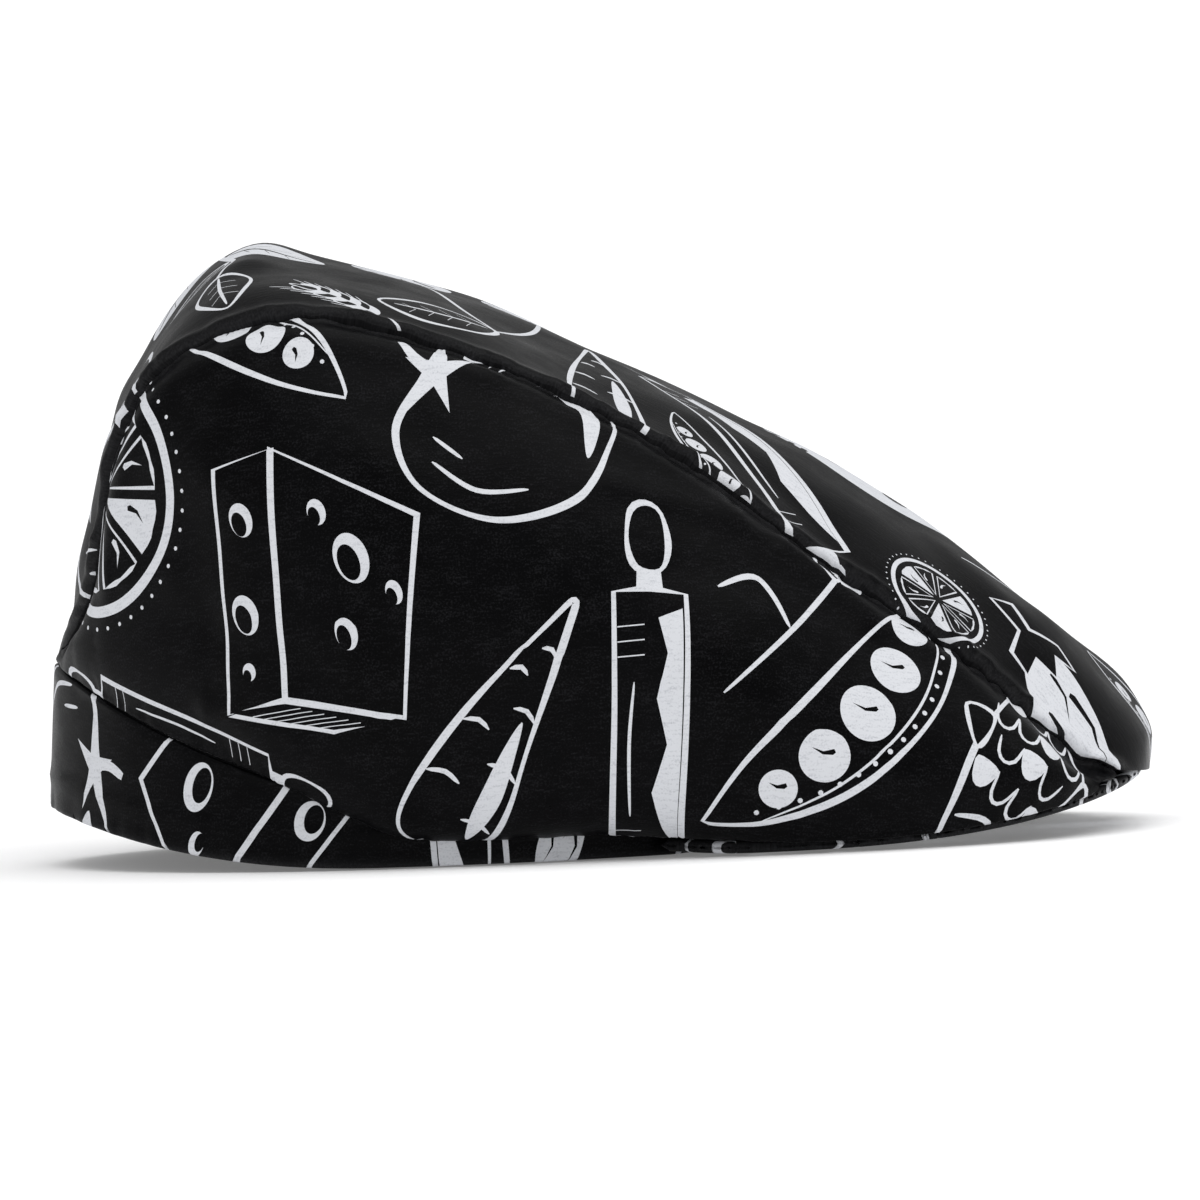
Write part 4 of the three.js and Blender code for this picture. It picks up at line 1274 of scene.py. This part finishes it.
def panel_border(panel):
    """The panel's outline as places, counterclockwise on its outer face."""
    low, high = PANELS[panel]

    def long_edge(value):
        on_seam = abs(value) == 1
        shares = along_shares(SEAM_LENGTH if on_seam else RIM_LENGTH)
        return np.stack([shares, beside(panel, value, shares, EDGE_GAP if on_seam else 0)], -1)

    def short_edge(share, start, end):
        line = crown(share, np.linspace(low, high, 60))
        steps = max(4, round(np.linalg.norm(np.diff(line, axis=0), axis=1).sum() / ALONG))
        return np.stack([np.full(steps - 1, share), np.linspace(start, end, steps + 1)[1:-1]], -1)

    return np.concatenate([long_edge(high), short_edge(1.0, high, low), long_edge(low)[::-1],
                           short_edge(0.0, low, high)])


def panel_points(panel, unfolding, border):
    """Inner points: rows beside the seams and the rim, and the lattice between them."""
    low, high = PANELS[panel]
    rows = []
    for value in (low, high):
        on_seam = abs(value) == 1
        shares = along_shares(SEAM_LENGTH if on_seam else RIM_LENGTH)[2:-2]
        for k, distance in enumerate(SEAM_ROWS if on_seam else RIM_ROWS):
            place = beside(panel, value, shares, distance)
            keep = np.abs(place - value) < (high - low) * 0.45
            shift = (k % 2) * 0.3 * ALONG / SEAM_LENGTH[-1]
            rows.append(unfolding.flattened(shares[keep] + shift, place[keep]))
    net = lattice(border)
    where = unfolding.places(net)
    from_seam, _ = seam_distance(where[:, 0], where[:, 1])
    from_rim, _ = rim_distance(where[:, 0], where[:, 1])
    far = (from_seam > FREE_OF_SEAM) & ((from_rim > FREE_OF_RIM) | (panel == "top"))
    far &= (where[:, 0] > 0.002) & (where[:, 0] < 0.998)
    return np.concatenate(rows + [net[far]])


def crown_panel(panel):
    low, high = PANELS[panel]
    unfolding = UNFOLDINGS[panel]
    border = unfolding.flattened(*panel_border(panel).T)
    net = triangles(border, scattered(panel, border), panel_points(panel, unfolding, border))
    share, place = unfolding.places(net[0]).T
    outer = cloth(share, place, low, high)
    way = face_way(lambda s, p: cloth(s, p, low, high), share, place, low, high)
    from_seam = seam_distance(share, place)[0]
    inwards = -lift_way(share, place, low, high)
    inner = outer + inwards * (CROWN_WALL + ALLOWANCE * bell(from_seam, 2.8))[:, None]
    return sewn("cloth_crown_" + panel, outer, way, inner, inwards, net, bell(from_seam, 1.6))


PIECES = {}
CUT = {}
for panel in PANELS:
    PIECES[panel], *CUT[panel] = crown_panel(panel)

# %% [markdown]
# ## The band
# The band is one strip, sewn to a ring at the back and folded double at the hem. It stands tall behind,
# falls to the temples and carries the crown's seam. Its pattern is simply unrolled round the head.

# %% Band
BAND_ANGLES = np.linspace(-math.pi, math.pi, 1441)
middle_line = band_face(BAND_ANGLES, (hem_z(BAND_ANGLES) + band_top_z(BAND_ANGLES)) / 2)
BAND_TURN = np.concatenate([[0], np.cumsum(np.linalg.norm(np.diff(middle_line, axis=0), axis=1))])
HEM_FOLD = 0.9  # radius of the folded hem
FREE_OF_HEM, FREE_OF_TOP, FREE_OF_END = 9, 2, 1
END_POINTS = 12
HEM_ROWS, UPPER_ROWS = (0.25, 0.5, 0.85, 1.5, 3, 5.5, 8), (0.25, 0.5, 0.8, 1.5)


def band_edges(angle):
    return hem_z(angle), band_top_z(angle)


def band_cloth(angle, z, outwards):
    """A face of the band: outwards is 1 on its outer face and -1 on its inner one."""
    low, high = band_edges(angle)
    round_head = np.interp(angle, BAND_ANGLES, BAND_TURN)
    lift = 0.22 * puckers(round_head * 0.8, 0.4) * bell(z - low, 4.0)
    lift += 0.3 * np.sin(round_head / 9.5 + 1.1 * np.sin(round_head / 31)) * ease((z - low) / 12)
    lift += 0.35 * bell(z - low, 1.6, 8)
    keep = np.cos(angle) < 0.35
    lift = np.where(keep, lift, lift * 0.25) * ease((high - z) / 2.5) * (0.9 if outwards > 0 else 0.35)
    fold = rolled(z - low, HEM_FOLD) + rolled(high - z, HEM_FOLD * 0.8)
    return band_face(angle, z, lift - fold if outwards > 0 else -BAND_WALL + lift + fold)


def band_way(angle, z, outwards):
    low, high = band_edges(angle)
    along = band_cloth(angle + 1e-3, z, outwards) - band_cloth(angle - 1e-3, z, outwards)
    up = (band_cloth(angle, np.minimum(z + 0.1, high), outwards)
          - band_cloth(angle, np.maximum(z - 0.1, low), outwards))
    return unit(np.cross(along, up)) * outwards


def band_piece():
    turn = np.linspace(0, BAND_TURN[-1], round(BAND_TURN[-1] / ALONG) + 1)
    low, high = band_edges(np.interp(turn, BAND_TURN, BAND_ANGLES))

    def row(height):
        return np.stack([turn, height], -1)

    def end(at, start, stop):
        return np.stack([np.full(END_POINTS, at), np.linspace(start, stop, END_POINTS + 2)[1:-1]], -1)

    border = np.concatenate([row(low), end(turn[-1], low[-1], high[-1]), row(high)[::-1],
                             end(0, high[0], low[0])])
    rows = [row(low + d)[1:-1] for d in HEM_ROWS] + [row(high - d)[1:-1] for d in UPPER_ROWS]
    net = lattice(border)
    x, y = net.T
    net_low, net_high = band_edges(np.interp(x, BAND_TURN, BAND_ANGLES))
    net = net[(y > net_low + FREE_OF_HEM) & (y < net_high - FREE_OF_TOP)
              & (x > FREE_OF_END) & (x < BAND_TURN[-1] - FREE_OF_END)]
    net = triangles(border, scattered("band", border), np.concatenate(rows + [net]))
    angle = np.interp(net[0][:, 0], BAND_TURN, BAND_ANGLES)
    low, high = band_edges(angle)
    z = np.clip(net[0][:, 1], low, high)
    return sewn("cloth_band", band_cloth(angle, z, 1), band_way(angle, z, 1), band_cloth(angle, z, -1),
                band_way(angle, z, -1), net, bell(z - low, 1.2))


PIECES["band"], *CUT["band"] = band_piece()

# %% [markdown]
# ## The peak
# The peak is a stiff crescent covered in the same print. Only its edge shows below the crown in front;
# its underside shows from below. Its faces meet in a rounded edge all round.

# %% Peak
PEAK_ROUND = PEAK_WALL / 2
PEAK_ROWS = (0.12, 0.4, 0.85, 1.5, 2.6)
FREE_OF_EDGE = 3.4
NUDGE = 0.05  # mm to each side, for measuring the peak's slope


def peak_border():
    corner_x = PEAK_WAIST_X - PEAK_CORNER_SETBACK
    corner = math.acos(np.clip((corner_x - OPENING_X) / (BAND_LENGTH / 2), -1, 1))
    edge = peak_outline(np.linspace(-PEAK_HALF_TURN, PEAK_HALF_TURN, 261))[:, :2]
    root = band_face(np.linspace(corner, -corner, 121), np.zeros(121), SEAM_GAP * np.ones(121))[:, :2]
    return np.concatenate([edge, root[1:-1]])


def border_distance(points, border):
    best = np.full(len(points), np.inf)
    for start, end in zip(border, np.roll(border, -1, 0)):
        way = end - start
        t = np.clip((points - start) @ way / max(way @ way, 1e-9), 0, 1)[:, None]
        best = np.minimum(best, np.linalg.norm(points - start - t * way, axis=1))
    return best


def inset(border, distance):
    along = np.roll(border, -1, 0) - np.roll(border, 1, 0)
    return border + unit(np.stack([-along[:, 1], along[:, 0]], -1)) * distance


def peak_piece():
    border = peak_border()
    rows = [inset(border, d)[2:-2] for d in PEAK_ROWS]
    net = lattice(border)
    net = net[border_distance(net, border) > FREE_OF_EDGE]
    rows = [row[inside(row, border)] for row in rows]
    net = triangles(border, scattered("peak", border), np.concatenate(rows + [net]))
    flat, _, ink = net
    from_edge = border_distance(flat, border)

    def face(points, upwards):
        x, y = points.T
        half = PEAK_WALL / 2 - rolled(from_edge, PEAK_ROUND)
        return xyz(x, y, peak_under_z(x, y) + PEAK_WALL / 2 + upwards * half)

    def face_ways(upwards):
        slope = [face(flat + d, upwards) - face(flat - d, upwards) for d in np.eye(2) * NUDGE]
        level = unit(np.cross(slope[0], slope[1])) * upwards
        nearest = np.argmin(np.linalg.norm(flat[:, None] - border[None], axis=2), axis=1)
        outward = unit(np.pad(border[nearest] - flat, ((0, 0), (0, 1))))
        lean = np.clip(1 - from_edge / PEAK_ROUND, 0, 1)[:, None]
        return unit(level * np.sqrt(np.maximum(1 - lean ** 2, 0)) + outward * lean * 0.98)

    return sewn("cloth_peak", face(flat, 1), face_ways(1), face(flat, -1), face_ways(-1), net,
                bell(from_edge, 1.5), reverse_ink=ink)


PIECES["peak"], *CUT["peak"] = peak_piece()

# %% [markdown]
# ## The cloth's finish
# The cloth is a smooth black cotton blend with a fine plain weave: a soft sheen, greyer where the face
# turns away, small bumps of the threads, and slow changes of tone where it was pressed. The print is a
# thin off-white ink that lets the weave through. Rubbed seams are a touch lighter.

# %% Node helpers
class Finish:
    """A new material, with short ways to add nodes and to join them."""

    def __init__(self, name):
        self.material = bpy.data.materials.new(name)
        self.material.use_nodes = True
        self.nodes, self.links = self.material.node_tree.nodes, self.material.node_tree.links
        self.surface = self.nodes["Principled BSDF"].inputs

    def node(self, kind, **settings):
        made = self.nodes.new(kind)
        for key, value in settings.items():
            setattr(made, key, value)
        return made

    def feed(self, socket, value):
        """Gives a socket a number, a colour or another node's output."""
        if isinstance(value, (int, float)):
            socket.default_value = value
        elif isinstance(value, tuple):
            socket.default_value = (*value, 1)
        else:
            self.links.new(value, socket)

    def math(self, operation, a, b):
        made = self.node("ShaderNodeMath", operation=operation)
        self.feed(made.inputs[0], a)
        self.feed(made.inputs[1], b)
        return made.outputs[0]

    def total(self, *terms):
        """A weighted sum: pairs of a socket and its weight."""
        parts = [self.math("MULTIPLY", socket, weight) for socket, weight in terms]
        while len(parts) > 1:
            parts = [self.math("ADD", parts[0], parts[1])] + parts[2:]
        return parts[0]

    def ramp(self, factor, *stops):
        """Colours by a factor: pairs of a position and its colour."""
        made = self.node("ShaderNodeValToRGB")
        for element, (position, colour) in zip(made.color_ramp.elements, stops):
            element.position, element.color = position, (*colour, 1)
        self.links.new(factor, made.inputs[0])
        return made.outputs[0]

    def mixed(self, factor, a, b):
        made = self.node("ShaderNodeMix", data_type="RGBA")
        for place, value in ((0, factor), (6, a), (7, b)):
            self.feed(made.inputs[place], value)
        return made.outputs[2]

    def speckle(self, coordinates, along, across, turn=0.0, detail=2):
        """Uneven grain, stretched along one way: sizes of its spots in metres."""
        stretched = self.node("ShaderNodeMapping")
        stretched.inputs["Rotation"].default_value = (0, 0, math.radians(turn))
        stretched.inputs["Scale"].default_value = (1 / along, 1 / across, 1)
        self.links.new(coordinates, stretched.inputs["Vector"])
        grain = self.node("ShaderNodeTexNoise")
        grain.inputs["Scale"].default_value, grain.inputs["Detail"].default_value = 1.0, detail
        self.links.new(stretched.outputs[0], grain.inputs["Vector"])
        return grain.outputs["Fac"]

    def bumped(self, height, strength, depth):
        bump = self.node("ShaderNodeBump")
        bump.inputs["Strength"].default_value, bump.inputs["Distance"].default_value = strength, depth
        self.links.new(height, bump.inputs["Height"])
        self.links.new(bump.outputs[0], self.surface["Normal"])


# %% Printed cotton
BLACK_DEEP, BLACK_WORN = (0.0010, 0.0010, 0.0012), (0.0020, 0.0020, 0.0024)
BLACK_SPECK, RUBBED = (0.012, 0.012, 0.0135), (0.03, 0.03, 0.032)
INK_WHITE, INK_THIN = (0.70, 0.715, 0.75), (0.50, 0.515, 0.55)
REVERSE_DARK, REVERSE_PALE = (0.016, 0.016, 0.0175), (0.034, 0.034, 0.037)


def printed_cotton():
    cotton = Finish("printed_cotton")
    thread = cotton.node("ShaderNodeUVMap", uv_map="thread").outputs[0]
    place = cotton.node("ShaderNodeTexCoord").outputs["Object"]
    ink, wear = (cotton.node("ShaderNodeAttribute", attribute_name=name).outputs["Fac"]
                 for name in ("ink", "wear"))
    tone = cotton.speckle(place, 0.026, 0.026, detail=3)
    patches = cotton.speckle(thread, 0.009, 0.006, 20)
    twill = cotton.speckle(thread, 0.0035, 0.0008, 32)
    fibre = cotton.speckle(thread, 0.0005, 0.0005)
    grain = cotton.total((fibre, 0.55), (twill, 0.25), (patches, 0.2))
    specks = cotton.ramp(grain, (0.5, (0, 0, 0)), (0.68, (1, 1, 1)))
    black = cotton.mixed(specks, cotton.ramp(tone, (0.3, BLACK_DEEP), (0.7, BLACK_WORN)), BLACK_SPECK)
    black = cotton.mixed(cotton.math("MULTIPLY", wear, fibre), black, RUBBED)
    white = cotton.ramp(cotton.total((fibre, 0.5), (twill, 0.5)), (0.3, INK_THIN), (0.5, INK_WHITE))
    cotton.feed(cotton.surface["Base Color"], cotton.mixed(ink, black, white))
    roughness = cotton.total((tone, 0.2), (patches, 0.25), (ink, 0.1), (fibre, 0.3))
    cotton.feed(cotton.surface["Roughness"], roughness)
    cotton.surface["Specular IOR Level"].default_value = 0.04
    cotton.surface["Sheen Weight"].default_value = 0.01
    cotton.surface["Sheen Roughness"].default_value = 0.45
    cotton.surface["Sheen Tint"].default_value = (0.85, 0.87, 0.92, 1)
    cotton.bumped(cotton.total((twill, 0.8), (fibre, 0.6), (ink, 0.25)), 0.4, 0.00016)
    return cotton.material


def cotton_reverse():
    cotton = Finish("cotton_reverse")
    thread = cotton.node("ShaderNodeUVMap", uv_map="thread").outputs[0]
    twill = cotton.speckle(thread, 0.0035, 0.0008, -32)
    fibre = cotton.speckle(thread, 0.0007, 0.0007)
    grain = cotton.total((fibre, 0.5), (twill, 0.5))
    cotton.feed(cotton.surface["Base Color"], cotton.ramp(grain, (0.35, REVERSE_DARK), (0.65, REVERSE_PALE)))
    cotton.surface["Roughness"].default_value = 0.85
    cotton.surface["Sheen Weight"].default_value = 0.03
    cotton.surface["Specular IOR Level"].default_value = 0.15
    cotton.bumped(cotton.total((twill, 0.7), (fibre, 0.5)), 0.5, 0.00018)
    return cotton.material


PRINTED, REVERSE = printed_cotton(), cotton_reverse()
for piece in PIECES.values():
    piece.data.materials.append(PRINTED)
    piece.data.materials.append(REVERSE)
print("materials:", PRINTED.name, REVERSE.name)

# %% [markdown]
# ## Studio
# The photograph has a white background and an even, soft light. The top of the cap is greyer than its
# side, so most of the light comes from above: a broad soft sun over a pale floor, in a dimmer surround.

# %% Floor and light
FLOOR_COLOUR = (0.93, 0.93, 0.935)
FLOOR_GLOW = 0.16
SURROUND = 0.55
OVERHEAD, OVERHEAD_FROM, OVERHEAD_SPREAD = 1.7, (0.15, -0.2, 1.0), math.radians(70)


def add_floor():
    bpy.ops.object.select_all(action="DESELECT")
    bpy.ops.mesh.primitive_plane_add(size=80, location=(0, 0, -0.0004))
    floor = bpy.context.active_object
    floor.name = "floor"
    bpy.ops.object.transform_apply(location=True, rotation=True, scale=True)
    pale = Finish("pale_floor")
    pale.surface["Base Color"].default_value = (*FLOOR_COLOUR, 1)
    pale.surface["Roughness"].default_value = 0.9
    pale.surface["Specular IOR Level"].default_value = 0.1
    pale.surface["Emission Color"].default_value = (1, 1, 1, 1)
    pale.surface["Emission Strength"].default_value = FLOOR_GLOW
    floor.data.materials.append(pale.material)


def add_sun():
    bpy.ops.object.light_add(type="SUN", location=OVERHEAD_FROM)
    lamp = bpy.context.active_object
    lamp.name = "overhead"
    lamp.data.energy, lamp.data.angle = OVERHEAD, OVERHEAD_SPREAD
    lamp.rotation_euler = Vector(OVERHEAD_FROM).to_track_quat("Z", "Y").to_euler()


add_floor()
add_sun()
world = bpy.data.worlds.new("surround")
world.use_nodes = True
world.node_tree.nodes["Background"].inputs[0].default_value = (1.0, 1.0, 1.0, 1)
world.node_tree.nodes["Background"].inputs[1].default_value = SURROUND
bpy.context.scene.world = world
bpy.context.scene.view_settings.view_transform = "Standard"
print("floor, overhead light and surround stand")

# %% [markdown]
# ## Joining the frame
# Every cloth piece stands for one solid, which it hides, and rides with the cap's only body. The size and
# area of each flat pattern are kept in a table.

# %% Pieces and their solids
NODES = {"top": "crown_top", "side_left": "crown_side_left", "side_right": "crown_side_right",
         "band": "band", "peak": "peak"}
for name, piece in PIECES.items():
    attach(piece, "root")
    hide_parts(NODES[name])
